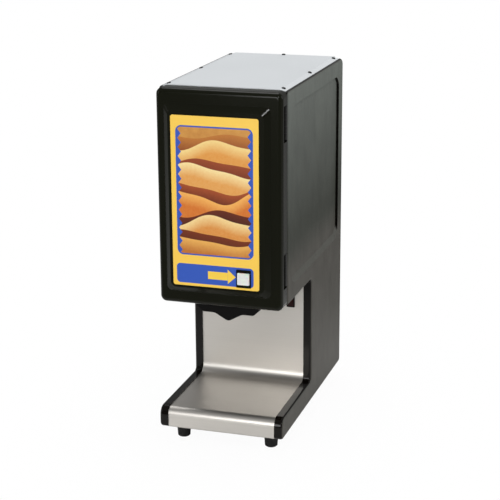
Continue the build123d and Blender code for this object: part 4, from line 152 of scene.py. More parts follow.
class Recipe:
    """The node tree of one material, from its principled shader outwards."""

    def __init__(self, name: str) -> None:
        """Start a material that holds a principled shader alone."""
        self.material = bpy.data.materials.new(name)
        self.material.use_nodes = True
        self.tree = self.material.node_tree
        self.tree.nodes.clear()
        self.output = self.tree.nodes.new("ShaderNodeOutputMaterial")
        self.shader = self.tree.nodes.new("ShaderNodeBsdfPrincipled")
        self.tree.links.new(self.shader.outputs[0], self.output.inputs[0])
        self._place: Signal | None = None

    def node(
        self,
        kind: str,
        settings: dict[str, Any] | None = None,
        inputs: dict[Any, Any] | None = None,
        out: Any = 0,
    ) -> Signal:
        """Add one node.

        Args:
            kind: The node's type.
            settings: Its properties, and a ramp's stops under the key "stops".
            inputs: Values or signals by the socket's name or number.
            out: The name or number of the socket that is wanted.

        Returns:
            The wanted output.
        """
        made = self.tree.nodes.new(kind)
        for key, value in (settings or {}).items():
            if key == "stops":
                self._set_stops(made.color_ramp, value)
            else:
                setattr(made, key, value)
        for key, value in (inputs or {}).items():
            if isinstance(value, Signal):
                self.tree.links.new(value.socket, made.inputs[key])
            else:
                made.inputs[key].default_value = value
        return Signal(self, made.outputs[out])

    @staticmethod
    def _set_stops(ramp: bpy.types.ColorRamp, stops: Sequence[tuple[float, Colour]]) -> None:
        """Give a ramp its stops, in order."""
        while len(ramp.elements) < len(stops):
            ramp.elements.new(1.0)
        for element, (position, colour) in zip(ramp.elements, stops):
            element.position = position
            element.color = colour

    def place(self) -> Signal:
        """The place on the object, in metres."""
        if self._place is None:
            self._place = self.node("ShaderNodeTexCoord", out="Object")
        return self._place

    def axes(self, source: Signal | None = None) -> tuple[Signal, Signal, Signal]:
        """The three parts of a vector, of the place unless another is given."""
        made = self.node("ShaderNodeSeparateXYZ", inputs={0: source or self.place()})
        node = made.socket.node
        return made, Signal(self, node.outputs[1]), Signal(self, node.outputs[2])

    def facing(self) -> tuple[Signal, Signal, Signal]:
        """The three parts of the surface's direction."""
        return self.axes(self.node("ShaderNodeTexCoord", out="Normal"))

    def stretched(self, scale: Point) -> Signal:
        """The place with each axis scaled, for grain that runs one way."""
        return self.node("ShaderNodeMapping", inputs={0: self.place(), 3: scale})

    def noise(
        self, scale: float, detail: float = 2.0, rough: float = 0.5, place: Signal | None = None
    ) -> Signal:
        """Cloudy variation from 0 to 1.

        Args:
            scale: Clouds per metre.
            detail: How many finer layers are added.
            rough: How strong the finer layers are.
            place: The coordinates, the object's own by default.

        Returns:
            The noise.
        """
        inputs = {"Vector": place or self.place(), "Scale": scale, "Detail": detail, "Roughness": rough}
        return self.node("ShaderNodeTexNoise", {"noise_dimensions": "3D"}, inputs)

    def cells(self, scale: float, feature: str = "F1") -> Signal:
        """Distance to scattered points, as in pebbles or flakes."""
        inputs = {"Vector": self.place(), "Scale": scale}
        return self.node("ShaderNodeTexVoronoi", {"feature": feature}, inputs)

    def blend(self, factor: Any, first: Any, second: Any) -> Signal:
        """Mix two colours.

        Args:
            factor: The second colour's share.
            first: A display colour's code, a linear colour or a colour signal.
            second: The same.

        Returns:
            The mixed colour.
        """
        first, second = (tint(part) if isinstance(part, str) else part for part in (first, second))
        return self.node("ShaderNodeMix", {"data_type": "RGBA"}, {0: factor, 6: first, 7: second}, 2)

    def feed(self, **sockets: Any) -> "Recipe":
        """Set or link the shader's sockets, with underscores for the spaces in their names."""
        for key, value in sockets.items():
            socket = self.shader.inputs[key.replace("_", " ")]
            if isinstance(value, Signal):
                self.tree.links.new(value.socket, socket)
            else:
                socket.default_value = value
        return self

    def relief(self, height: Signal, depth: float, strength: float = 1.0) -> "Recipe":
        """Raise the surface by a height signal.

        Args:
            height: The relief from 0 to 1.
            depth: What a height of 1 stands for, in metres.
            strength: The relief's share.

        Returns:
            The recipe itself.
        """
        inputs = {"Strength": strength, "Distance": depth, "Height": height}
        return self.feed(Normal=self.node("ShaderNodeBump", inputs=inputs, out="Normal"))


# ---------------------------------------------------------------- finishes


@dataclass(frozen=True)
class MouldedPlastic:
    """Moulded plastic with a fine grain and slight unevenness of tone."""

    name: str
    colour: str
    roughness: float
    grain: float = 1100.0
    depth: float = 0.00006
    specular: float = 0.4
    tone: float = 0.12

    def material(self) -> bpy.types.Material:
        """Build the material."""
        r = Recipe(self.name)
        drift = r.noise(9.0, 3.0)
        grain = r.noise(self.grain, 3.0, 0.6)
        r.feed(Base_Color=r.blend(drift, tint(self.colour, 1 - self.tone), self.colour))
        r.feed(Roughness=drift * 0.08 + grain * 0.06 + (self.roughness - 0.07))
        r.feed(Specular_IOR_Level=self.specular)
        return r.relief(grain, self.depth).material


@dataclass(frozen=True)
class PanelPlastic:
    """The side panels' plastic: polished and black on its edges and pebbled on its broad outer face, with
    painted shade and a painted highlight in its colours.

    Each pair of colours is the dark and the light of one height's mottling.
    """

    name: str = "panel_plastic"
    edge: str = "#0A0704"
    upper: tuple[str, str] = ("#5C605D", "#777C76")
    middle: tuple[str, str] = ("#33352F", "#43453F")
    column: tuple[str, str] = ("#45433E", "#5C5A55")
    pebbled: str = "#787C76"
    painted_slope_highlight: str = "#5C5D58"
    outer_x: float = 0.1055
    shaded_z: Span = (0.63, 0.38)
    column_z: Span = (0.36, 0.31)
    outward: Span = (0.6, 0.82)
    tilted: Span = (0.97, 0.93)
    upward: Span = (0.2, 0.35)

    def material(self) -> bpy.types.Material:
        """Build the material."""
        r = Recipe(self.name)
        nx, _, nz = r.facing()
        x, _, z = r.axes()
        # Faces that turn away from the side take the edge's black: partly the edges' own colour, partly
        # painted shade, as on the recess's rear wall.
        outer = abs(nx).fade(*self.outward) * abs(x).fade(self.outer_x, self.outer_x + MM)
        groove = abs(nx).fade(*self.tilted) * nz.fade(*self.upward)
        pebble = r.cells(620.0) * 0.6 + r.noise(1500.0, 2.0) * 0.4
        streak = r.noise(70.0, 6.0, 0.7, r.stretched((1.0, 1.0, 0.3)))
        cloud = r.noise(22.0, 5.0, 0.65, r.stretched((1.0, 1.0, 0.5)))
        mottle = (streak * 0.5 + cloud * 0.5).fade(0.3, 0.74)
        upper = r.blend(pebble.fade(0.28, 0.62) * 0.25, r.blend(mottle, *self.upper), self.pebbled)
        # Painted shade: the upper field is painted darker towards its bottom, in the middle pair of
        # colours.
        upper = r.blend(z.fade(*self.shaded_z) * 0.95, upper, r.blend(mottle, *self.middle))
        broad = r.blend(z.fade(*self.column_z), upper, r.blend(mottle, *self.column))
        # Painted highlight: the recess's upward-sloping lower wall is painted lighter where it faces the
        # light from above.
        broad = r.blend(groove * 0.6, broad, self.painted_slope_highlight)
        r.feed(Base_Color=r.blend(outer, self.edge, broad))
        r.feed(Roughness=outer * 0.34 + cloud * 0.05 + 0.13)
        r.feed(Specular_IOR_Level=0.1, Coat_Weight=(1 - outer) * 0.25, Coat_Roughness=0.1)
        relief = pebble * 0.7 + streak * 0.6
        return r.relief(relief * outer + (1 - outer) * 0.03 * r.noise(500.0), 0.00022, 0.8).material


@dataclass(frozen=True)
class GlossPlastic:
    """Black door plastic with a soft polish, faint waviness and fine dust."""

    name: str = "door_gloss"
    colour: str = "#12130A"
    lift: float = 0.002

    def material(self) -> bpy.types.Material:
        """Build the material."""
        r = Recipe(self.name)
        wave = r.noise(60.0, 2.0)
        dust = r.noise(900.0, 4.0, 0.7).fade(0.62, 0.8)
        wipe = r.noise(14.0, 5.0, 0.6, r.stretched((1.0, 1.0, 0.4)))
        light = tuple(c + self.lift for c in tint(self.colour)[:3]) + (1.0,)
        r.feed(Base_Color=r.blend(wipe * 0.6 + dust * 0.4, self.colour, light))
        r.feed(Roughness=wipe * 0.06 + dust * 0.08 + 0.13)
        r.feed(Specular_IOR_Level=0.14)
        return r.relief(wave + dust * 0.1, 0.00006, 0.5).material


@dataclass(frozen=True)
class BrushedSteel:
    """Stainless sheet brushed along one axis."""

    name: str
    colour: str = "#D9D5CF"
    roughness: float = 0.42
    along: Point = (14.0, 2600.0, 2600.0)
    line: float = 0.000004
    hollow: float = 0.9

    def material(self) -> bpy.types.Material:
        """Build the material."""
        r = Recipe(self.name)
        hair = r.noise(1.0, 3.0, 0.6, r.stretched(self.along))
        wide = r.noise(1.0, 2.0, 0.5, r.stretched(tuple(a / 7 for a in self.along)))
        smudge = r.noise(22.0, 4.0)
        lines = hair * 0.6 + wide * 0.4
        r.feed(Base_Color=r.blend(lines, tint(self.colour, self.hollow), self.colour), Metallic=1.0)
        r.feed(Roughness=hair * 0.06 + smudge * 0.05 + (self.roughness - 0.06))
        return r.relief(hair + wide * 0.4, self.line, 0.7).material


@dataclass(frozen=True)
class PaintedSheet:
    """Powder paint on sheet metal, with a fine orange-peel surface."""

    name: str
    colour: str
    roughness: float
    peel: float = 700.0
    depth: float = 0.00008
    tone: float = 0.06

    def material(self) -> bpy.types.Material:
        """Build the material."""
        r = Recipe(self.name)
        cloud = r.noise(7.0, 4.0)
        peel = r.noise(self.peel, 2.0)
        r.feed(Base_Color=r.blend(cloud, tint(self.colour, 1 - self.tone), self.colour))
        r.feed(Roughness=cloud * 0.1 + peel * 0.04 + (self.roughness - 0.07))
        return r.relief(peel, self.depth).material


@dataclass(frozen=True)
class Metal:
    """Plain metal with fine turning or casting marks."""

    name: str
    colour: str
    roughness: float
    marks: Point = (800.0, 800.0, 800.0)
    depth: float = 0.00003
    hollow: float = 0.72

    def material(self) -> bpy.types.Material:
        """Build the material."""
        r = Recipe(self.name)
        marks = r.noise(1.0, 3.0, 0.6, r.stretched(self.marks))
        age = r.noise(35.0, 4.0)
        stain = age * 0.5 + marks * 0.5
        r.feed(Base_Color=r.blend(stain, tint(self.colour, self.hollow), self.colour), Metallic=1.0)
        r.feed(Roughness=marks * 0.12 + age * 0.1 + (self.roughness - 0.1))
        return r.relief(marks, self.depth).material


@dataclass(frozen=True)
class SoftRubber:
    """Matte rubber with a bloom in its hollows."""

    name: str
    colour: str
    bloom: str
    roughness: float = 0.75

    def material(self) -> bpy.types.Material:
        """Build the material."""
        r = Recipe(self.name)
        bloom = r.noise(160.0, 5.0, 0.7)
        r.feed(Base_Color=r.blend(bloom.fade(0.42, 0.8), self.colour, self.bloom))
        r.feed(Roughness=bloom * 0.15 + (self.roughness - 0.08), Specular_IOR_Level=0.3)
        return r.relief(bloom, 0.0001, 0.6).material


@dataclass(frozen=True)
class ClearPlastic:
    """Tinted or milky plastic that light enters."""

    name: str
    colour: str
    passes: float
    milky: float
    roughness: float
    specular: float = 0.5
    deep: float = 0.86

    def material(self) -> bpy.types.Material:
        """Build the material."""
        r = Recipe(self.name)
        cloud = r.noise(220.0, 3.0)
        r.feed(Base_Color=r.blend(cloud, tint(self.colour, self.deep), self.colour))
        r.feed(Roughness=cloud * 0.08 + (self.roughness - 0.04))
        r.feed(Transmission_Weight=self.passes, IOR=1.45, Specular_IOR_Level=self.specular)
        r.feed(Subsurface_Weight=self.milky, Subsurface_Scale=2 * MM)
        return r.relief(cloud, 0.00004).material


@dataclass(frozen=True)
class WoolBatt:
    """Foil-faced mineral wool: dull crinkled foil with yellow fibre showing through."""

    name: str = "wool_batt"

    def material(self) -> bpy.types.Material:
        """Build the material."""
        r = Recipe(self.name)
        crinkle = r.cells(90.0, feature="F2") - r.cells(90.0)
        fibre = r.noise(420.0, 6.0, 0.75)
        r.feed(Base_Color=r.blend(fibre.fade(0.4, 0.7), "#B9A76A", "#D8CC9A"), Roughness=0.85)
        return r.relief(crinkle.fade(0.0, 0.4) + fibre, 0.0012).material


@dataclass(frozen=True)
class CircuitBoard:
    """Green lacquer over copper tracks, with dark relays standing on it."""

    name: str = "circuit_board"
    board_y: float = 0.1905
    relay_from: Span = (0.0016, 0.002)

    def material(self) -> bpy.types.Material:
        """Build the material."""
        r = Recipe(self.name)
        x, y, z = r.axes()
        lane = (x * 700.0 + r.noise(60.0, 0.0) * 9.0).sine().fade(0.55, 0.75)
        lane = lane.most((z * 620.0 + r.noise(45.0, 0.0) * 8.0).sine().fade(0.7, 0.85))
        green = r.blend(lane, "#1C5A34", "#2F7A48")
        relay = abs(y - self.board_y).fade(*self.relay_from)
        r.feed(Base_Color=r.blend(relay, green, "#1D1E22"), Roughness=relay * 0.15 + 0.3)
        return r.relief(lane, 0.00005).material


@dataclass(frozen=True)
class LaminatedCore:
    """A transformer's varnished core: thin plates stacked across, with a taped coil between."""

    name: str = "laminated_core"
    plate: float = 0.9 * MM

    def material(self) -> bpy.types.Material:
        """Build the material."""
        r = Recipe(self.name)
        _, y, _ = r.axes()
        plate = (y * (2 * math.pi / self.plate)).sine() * 0.5 + 0.5
        rust = r.noise(120.0, 5.0)
        r.feed(Base_Color=r.blend(rust, "#2A2522", "#4B403A"), Roughness=rust * 0.2 + 0.4)
        r.feed(Metallic=0.6)
        return r.relief(plate, 0.0002).material


@dataclass(frozen=True)
class HeatedSheath:
    """An element's sheath, browned by heat towards its bend."""

    name: str = "heated_sheath"
    bend_z: Span = (0.42, 0.56)
    tempering: tuple[tuple[float, str], ...] = (
        (0.0, "#3B3A3C"),
        (0.45, "#5A4636"),
        (0.7, "#4A4458"),
        (1.0, "#6B5638"),
    )

    def material(self) -> bpy.types.Material:
        """Build the material."""
        r = Recipe(self.name)
        _, _, z = r.axes()
        heat = r.noise(30.0, 4.0) * 0.6 + z.fade(*self.bend_z) * 0.4
        stops = [(place, tint(shade)) for place, shade in self.tempering]
        colour = r.node("ShaderNodeValToRGB", {"stops": stops}, {0: heat})
        r.feed(Base_Color=colour, Metallic=0.8, Roughness=heat * 0.2 + 0.35)
        return r.relief(r.noise(900.0, 3.0), 0.00006).material


@dataclass(frozen=True)
class PrintedSheet:
    """The door's printed sheet: a yellow field, a toothed blue frame round flowing bands, and an arrow."""

    name: str = "printed_sheet"
    frame_x: Span = (-0.0690, 0.0650)
    frame_z: Span = (0.3510, 0.5725)
    frame_corner: float = 0.0105
    frame_line: float = 0.0027
    tooth: float = 0.0153
    tooth_depth: float = 0.0058
    tooth_gap: float = 0.0008
    panel_x: Span = (-0.0710, 0.0648)
    panel_z: Span = (0.3016, 0.3356)
    panel_corner: float = 0.0065
    arrow_tail_x: float = -0.0155
    arrow_neck_x: float = 0.0195
    arrow_tip_x: float = 0.0333
    arrow_z: float = 0.3182
    shaft_half: float = 0.0068
    head_half: float = 0.0125
    yellow: str = "#F8CC55"
    blue: str = "#3358B8"
    arrow: str = "#F6CF4E"
    soft: float = 0.0003
    field: tuple[str, str] = ("#B97A35", "#D9A050")
    wave_rates: Span = (38.0, 71.0)
    short_share: float = 0.35
    crest: Span = (0.001, 0.022)
    bands: tuple[tuple[float, float, float, str, str], ...] = (
        (0.556, 0.0040, 0.3, "#C07A34", "#8E4A20"),
        (0.540, 0.0085, 1.2, "#F7DC92", "#DE9440"),
        (0.511, 0.0060, 2.3, "#9C4A26", "#6E2C16"),
        (0.499, 0.0100, 2.9, "#FBE6A6", "#E09A4A"),
        (0.468, 0.0080, 4.1, "#A85028", "#5C2414"),
        (0.455, 0.0115, 4.6, "#F6B860", "#D06E26"),
        (0.424, 0.0070, 0.9, "#6A2C18", "#3A1A14"),
        (0.412, 0.0095, 1.5, "#F8DE9C", "#D88A3A"),
        (0.388, 0.0060, 3.4, "#7A3418", "#4E2416"),
        (0.377, 0.0050, 3.9, "#EDB45C", "#B86A2A"),
    )

    def _plate(
        self, x: Signal, z: Signal, span_x: Span, span_z: Span, corner: float
    ) -> Signal:
        """The distance from a rounded rectangle, less than 0 inside it.

        Args:
            x: The place across.
            z: The height.
            span_x: The rectangle's sides.
            span_z: Its lower and upper edge.
            corner: Its corners' radius.

        Returns:
            The distance in metres.
        """
        qx = abs(x - sum(span_x) / 2) - ((span_x[1] - span_x[0]) / 2 - corner)
        qz = abs(z - sum(span_z) / 2) - ((span_z[1] - span_z[0]) / 2 - corner)
        far = (qx.most(0.0) * qx.most(0.0) + qz.most(0.0) * qz.most(0.0)).math("SQRT")
        return far + qx.most(qz).least(0.0) - corner

    def _inside(self, distance: Signal) -> Signal:
        """1 inside a shape, 0 outside it, with a soft edge."""
        return distance.fade(self.soft, -self.soft)

    def _flow(self, r: Recipe, x: Signal, z: Signal) -> Signal:
        """Bands that roll across the framed field, each shaded from its crest down."""
        colour = r.blend(r.noise(90.0, 3.0), *self.field)
        slow, quick = self.wave_rates
        for level, swing, phase, light, deep in self.bands:
            long_wave = (x * slow + phase).sine() * swing
            short_wave = (x * quick + 2.0 * phase).sine() * (swing * self.short_share)
            below = long_wave + short_wave + level - z
            shade = below.fade(*self.crest) * 0.8 + r.noise(260.0, 3.0) * 0.25
            band = r.blend(shade, light, deep)
            colour = r.blend(below.fade(-self.soft, self.soft), colour, band)
        return colour

    def material(self) -> bpy.types.Material:
        """Build the material."""
        r = Recipe(self.name)
        x, _, z = r.axes()
        frame_shape = self._plate(x, z, self.frame_x, self.frame_z, self.frame_corner)
        inner_x = (self.frame_x[0] + self.frame_line, self.frame_x[1] - self.frame_line)
        inner_z = (self.frame_z[0] + self.frame_line, self.frame_z[1] - self.frame_line)
        tooth = z.wedge(self.tooth) * (2 * self.tooth_depth / self.tooth)
        toothed = self._plate(x, z, inner_x, inner_z, self.frame_corner - self.frame_line)
        side = abs(x - sum(inner_x) / 2) - ((inner_x[1] - inner_x[0]) / 2 - tooth - self.tooth_gap)
        panel = self._plate(x, z, self.panel_x, self.panel_z, self.panel_corner)
        rise = abs(z - self.arrow_z)
        shaft = (rise - self.shaft_half).most(self.arrow_tail_x - x).most(x - self.arrow_neck_x)
        slope = self.head_half / (self.arrow_tip_x - self.arrow_neck_x)
        head = (rise - (self.arrow_tip_x - x) * slope).most(self.arrow_neck_x - x)
        colour = r.blend(self._inside(frame_shape.least(panel)), self.yellow, self.blue)
        colour = r.blend(self._inside(toothed.most(side)), colour, self._flow(r, x, z))
        colour = r.blend(self._inside(shaft.least(head)), colour, self.arrow)
        ink = r.noise(1400.0, 2.0)
        r.feed(Base_Color=colour, Roughness=ink * 0.08 + 0.26, Specular_IOR_Level=0.35)
        return r.relief(ink, 0.00002).material


# ---------------------------------------------------------------- modelling


def along_y(at: Vector, way: Vector) -> bool:
    """Whether an edge runs, or a face looks, along Y."""
    return abs(way.y) > 0.9


class Shape:
    """A new mesh under Blender's own modelling operators."""

    def __init__(self, name: str) -> None:
        """Take over the active object, with its place and turn in its mesh."""
        self.obj = bpy.context.active_object
        self.obj.name = name
        self.obj.data.name = name
        self._bake()

    @staticmethod
    def clear() -> None:
        """Leave nothing selected."""
        if bpy.context.object and bpy.context.object.mode != "OBJECT":
            bpy.ops.object.mode_set(mode="OBJECT")
        bpy.ops.object.select_all(action="DESELECT")

    def _bake(self) -> None:
        """Move the object's place, turn and scale into its mesh."""
        self.grab()
        bpy.ops.object.transform_apply(location=True, rotation=True, scale=True)

    def grab(self) -> None:
        """Make this the one selected, active object."""
        self.clear()
        self.obj.select_set(True)
        bpy.context.view_layer.objects.active = self.obj

    @classmethod
    def block(cls, name: str, low: Point, high: Point) -> "Shape":
        """Start from a box between two corners."""
        cls.clear()
        centre = [(a + b) / 2 for a, b in zip(low, high)]
        size = [b - a for a, b in zip(low, high)]
        bpy.ops.mesh.primitive_cube_add(size=1.0, location=centre, scale=size)
        return cls(name)

    @classmethod
    def bar(cls, name: str, centre: Point, radius: float, depth: float, sides: int) -> "Shape":
        """Start from an upright round bar.

        Args:
            name: The object's name.
            centre: The bar's middle.
            radius: Its radius.
            depth: Its length.
            sides: How many flats make it round.

        Returns:
            The shape.
        """
        cls.clear()
        bpy.ops.mesh.primitive_cylinder_add(vertices=sides, radius=radius, depth=depth, location=centre)
        return cls(name)

    @classmethod
    def cast(cls, name: str, node: str) -> "Shape":
        """Start from a merged copy of a CAD node's mesh."""
        cls.clear()
        made = bpy.data.objects.new(name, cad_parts[node].data.copy())
        bpy.context.scene.collection.objects.link(made)
        bpy.context.view_layer.objects.active = made
        shape = cls(name)
        return shape.edit().run("remove_doubles", threshold=1e-6).leave()

    def edit(self) -> "Shape":
        """Enter edit mode with everything picked."""
        self.grab()
        bpy.ops.object.mode_set(mode="EDIT")
        bpy.ops.mesh.select_all(action="SELECT")
        return self

    def leave(self) -> "Shape":
        """Return to object mode."""
        bpy.ops.object.mode_set(mode="OBJECT")
        return self

    def run(self, operator: str, **settings: Any) -> "Shape":
        """Run one mesh operator on what is picked."""
        getattr(bpy.ops.mesh, operator)(**settings)
        return self

    def pick(self, domain: Domain, test: Callable[[Vector, Vector], bool]) -> "Shape":
        """Select elements by place and direction, in edit mode.

        Args:
            domain: Faces, edges or vertices.
            test: Says yes to an element's middle and its normal, or an edge's direction.

        Returns:
            The shape itself.
        """
        bpy.ops.mesh.select_mode(type=domain.value)
        bpy.ops.mesh.select_all(action="DESELECT")
        mesh = bmesh.from_edit_mesh(self.obj.data)
        if domain is Domain.FACE:
            for face in mesh.faces:
                face.select_set(test(face.calc_center_median(), face.normal))
        elif domain is Domain.EDGE:
            for edge in mesh.edges:
                ends = [v.co for v in edge.verts]
                edge.select_set(test((ends[0] + ends[1]) / 2, (ends[1] - ends[0]).normalized()))
        else:
            for vertex in mesh.verts:
                vertex.select_set(test(vertex.co, vertex.normal))
        mesh.select_flush_mode()
        bmesh.update_edit_mesh(self.obj.data)
        return self

    def extrude(self, move: Point) -> "Shape":
        """Extrude the picked faces by a vector."""
        bpy.ops.mesh.extrude_region_move(TRANSFORM_OT_translate={"value": move})
        return self

    def inset(self, width: float) -> "Shape":
        """Inset the picked faces."""
        bpy.ops.mesh.inset(thickness=width)
        return self

    def round(self, width: float, steps: int) -> "Shape":
        """Bevel the picked edges."""
        bpy.ops.mesh.bevel(offset=width, segments=steps, affect="EDGES")
        return self

    def modify(self, kind: str, **settings: Any) -> "Shape":
        """Add a modifier with its settings and apply it."""
        self.grab()
        made = self.obj.modifiers.new(kind.lower(), kind)
        for key, value in settings.items():
            setattr(made, key, value)
        bpy.ops.object.modifier_apply(modifier=made.name)
        return self

    def cut(self, *tools: "Shape") -> "Shape":
        """Take other shapes away from this one and drop them."""
        for tool in tools:
            self.modify("BOOLEAN", object=tool.obj, operation="DIFFERENCE", solver="EXACT")
            bpy.data.objects.remove(tool.obj)
        return self

    def join(self, *others: "Shape") -> "Shape":
        """Make other shapes part of this object."""
        self.grab()
        for other in others:
            other.obj.select_set(True)
        bpy.ops.object.join()
        return self

    def copies(self, name: str, places: Sequence[tuple[Point, Point]]) -> "Shape":
        """Repeat this shape, modelled upright at the origin, and drop the model itself.

        Each copy is turned on by TWIST about its own axis.

        Args:
            name: The joined object's name.
            places: Each copy's place and the direction of its top.

        Returns:
            The joined copies.
        """
        made: list[Shape] = []
        for number, (at, way) in enumerate(places):
            self.clear()
            twin = bpy.data.objects.new(name, self.obj.data.copy())
            bpy.context.scene.collection.objects.link(twin)
            aim = Vector((0.0, 0.0, 1.0)).rotation_difference(Vector(way)).to_matrix().to_4x4()
            twin.matrix_world = Matrix.Translation(at) @ aim @ Matrix.Rotation(TWIST * number, 4, "Z")
            bpy.context.view_layer.objects.active = twin
            made.append(Shape(name))
        bpy.data.objects.remove(self.obj)
        return made[0].join(*made[1:])

    def smooth(self, degrees: float) -> "Shape":
        """Shade smoothly across edges flatter than an angle."""
        self.grab()
        bpy.ops.object.shade_smooth_by_angle(angle=math.radians(degrees))
        return self

    def finish(self, body: str, slot: str, material: bpy.types.Material, replaced: Sequence[str]) -> None:
        """Give the piece its material and its place in the frame.

        Args:
            body: The body that it rides on.
            slot: The record's material slot; not used.
            material: Its finish.
            replaced: The CAD nodes that it stands for.
        """
        self.obj.data.materials.clear()
        self.obj.data.materials.append(material)
        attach(self.obj, body)
        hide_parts(*replaced)
        log.info("piece %s on %s: %d faces", self.obj.name, body, len(self.obj.data.polygons))
        self.clear()


# ---------------------------------------------------------------- sub-assemblies


@dataclass
class CadFinishes:
    """The finishes of the CAD nodes that stay in view."""

    black: MouldedPlastic = MouldedPlastic("moulded_black", "#080706", 0.3, 900.0, 0.00004, 0.15)
    liner_white: MouldedPlastic = MouldedPlastic("liner_white", "#D9D8D2", 0.42, 700.0, 0.00008)
    bakelite: MouldedPlastic = MouldedPlastic("dark_moulding", "#26221F", 0.45)
    nylon: MouldedPlastic = MouldedPlastic("nylon_white", "#E6E4DC", 0.35, 500.0, 0.00003)
    pump_grey: MouldedPlastic = MouldedPlastic("pump_grey", "#5C5F63", 0.42, 800.0, 0.00006)
    top_paint: PaintedSheet = PaintedSheet("top_paint", "#DDE1E4", 0.34)
    dark_sheet: PaintedSheet = PaintedSheet("dark_sheet", "#3A3B3D", 0.45)
    hinge_paint: PaintedSheet = PaintedSheet("hinge_paint", "#1B1A19", 0.4)
    splash: BrushedSteel = BrushedSteel("splash_steel")
    cavity: BrushedSteel = BrushedSteel("cavity_steel", "#BDBBB6", 0.36, (1800.0, 12.0, 1800.0))
    bright: Metal = Metal("bright_steel", "#C8C8C6", 0.22)
    motor: Metal = Metal("motor_case", "#7E8083", 0.42)
    aluminium: Metal = Metal("cast_aluminium", "#B9BBBD", 0.38, (500.0, 500.0, 500.0), 0.0001)
    ferrite: Metal = Metal("ferrite", "#3A3938", 0.6)

    def dress(self) -> None:
        """Give every CAD node its material."""
        plan: dict[Any, tuple[str, ...]] = {
            PanelPlastic(): ("left_side_panel", "right_side_panel"),
            GlossPlastic(): ("door_shell",),
            self.black: ("nozzle_shroud", "power_switch_body", "power_inlet", "switch_bezel"),
            self.bakelite: ("dispense_switch", "terminal_block", "thermostat"),
            self.liner_white: ("door_liner",),
            self.nylon: ("bag_fitment", "pump_roller_1", "pump_roller_2", "pump_roller_3"),
            self.pump_grey: ("pump_housing", "pump_jaw", "fan_impeller"),
            self.top_paint: ("top_cover",),
            self.dark_sheet: ("base_plate", "rear_cover", "soffit", "pump_plate"),
            self.hinge_paint: ("cabinet_hinge_leaves", "door_hinge_leaves", "hinge_pins"),
            self.splash: ("splash_and_tray",),
            self.cavity: ("bag_rack", "cavity_liner", "air_baffle", "front_frame", "catch_strike"),
            self.bright: (
                "foot_screws", "roller_pins", "jaw_guide_rods", "drive_shaft", "rotor_retainer",
                "board_standoffs",
            ),
            self.motor: ("fan_motor", "gearmotor"),
            self.aluminium: ("pump_rotor", "element_clips", "high_limit_switch"),
            self.ferrite: ("catch_magnet",),
            SoftRubber("foot_rubber", "#141414", "#2A2A29"): ("rubber_feet",),
            ClearPlastic("rocker_lens", "#300604", 0.2, 0.05, 0.3, 0.2): ("power_rocker",),
            CircuitBoard(): ("control_board",),
            LaminatedCore(): ("transformer",),
            HeatedSheath(): ("heating_element",),
            PrintedSheet(): ("graphic_panel",),
        }
        for finish, nodes in plan.items():
            material = finish.material()
            for node in nodes:
                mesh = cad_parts[node].data
                for i in range(max(1, len(mesh.materials))):
                    if i < len(mesh.materials):
                        mesh.materials[i] = material
                    else:
                        mesh.materials.append(material)
                log.info("node %s: %s", node, material.name)
        others = set(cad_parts) - {n for nodes in plan.values() for n in nodes}
        log.info("nodes that other pieces stand for: %s", sorted(others))


@dataclass
class SoftParts:
    """The pieces that stand for the CAD's soft solids."""

    seal_half: float = 0.091
    seal_z: Span = (0.355, 0.613)
    seal_y: Span = (-0.1683, -0.165)
    seal_corner: float = 0.014
    seal_width: float = 0.006
    seal_round: float = 0.0013
    lip_shares: Span = (0.05, 0.9)
    tube_voxel: float = 0.0007
    blanket_voxel: float = 0.0035
    blanket_wave: float = 0.0016
    blanket_clouds: float = 0.035

    def _seal(self) -> None:
        """The door's gasket: a rounded frame with a soft bulb towards the door."""
        front, rear = self.seal_y
        low, high = self.seal_z
        ring = Shape.block("door_gasket", (-self.seal_half, front, low), (self.seal_half, rear, high))
        ring.edit().pick(Domain.EDGE, along_y).round(self.seal_corner, 8)
        ring.pick(Domain.FACE, along_y).inset(self.seal_width)
        middle = Vector((0.0, 0.0, (low + high) / 2))
        ring.pick(Domain.FACE, lambda at, way: along_y(at, way) and (at - middle).xz.length < MM)
        ring.run("bridge_edge_loops")
        ring.pick(Domain.EDGE, lambda at, way: at.y < front + TOUCH and self._lip(at))
        ring.round(self.seal_round, 3)
        ring.edit().run("normals_make_consistent", inside=False).leave()
        rubber = SoftRubber("seal_rubber", "#3F3F40", "#555554", 0.6).material()
        ring.smooth(50.0).finish("cabinet", "seal", rubber, ["door_seal"])

    def _lip(self, at: Vector) -> bool:
        """Whether an edge of the front face lies on its outer or inner outline."""
        low, high = self.seal_z
        inside = min(self.seal_half - abs(at.x), (high - low) / 2 - abs(at.z - (low + high) / 2))
        outline, opening = self.lip_shares
        return inside < self.seal_width * outline or inside > self.seal_width * opening

    def _tube(self) -> None:
        """The silicone tube, squeezed flat round the rotor, with soft edges."""
        tube = Shape.cast("squeeze_tube", "dispensing_tube")
        tube.modify("REMESH", mode="VOXEL", voxel_size=self.tube_voxel)
        tube.modify("SMOOTH", factor=0.5, iterations=3)
        silicone = ClearPlastic("silicone_tube", "#E5DFC8", 0.35, 0.4, 0.35).material()
        tube.smooth(60.0).finish("cabinet", "tube", silicone, ["dispensing_tube"])

    def _blanket(self) -> None:
        """The wool batt round the cavity, which bulges a little between its corners."""
        batt = Shape.cast("wool_batt_wrap", "insulation_blanket")
        batt.modify("REMESH", mode="VOXEL", voxel_size=self.blanket_voxel)
        batt.modify("SMOOTH", factor=0.6, iterations=4)
        clouds = bpy.data.textures.new("batt_waves", "CLOUDS")
        clouds.noise_scale = self.blanket_clouds
        batt.modify(
            "DISPLACE", texture=clouds, texture_coords="LOCAL", strength=self.blanket_wave, mid_level=1.0
        )
        batt.smooth(60.0).finish("cabinet", "blanket", WoolBatt().material(), ["insulation_blanket"])

    def build(self) -> None:
        """Make the three soft pieces."""
        self._seal()
        self._tube()
        self._blanket()


class Head(Enum):
    """The form of a screw's head."""

    PAN = "pan"
    COUNTERSUNK = "countersunk"


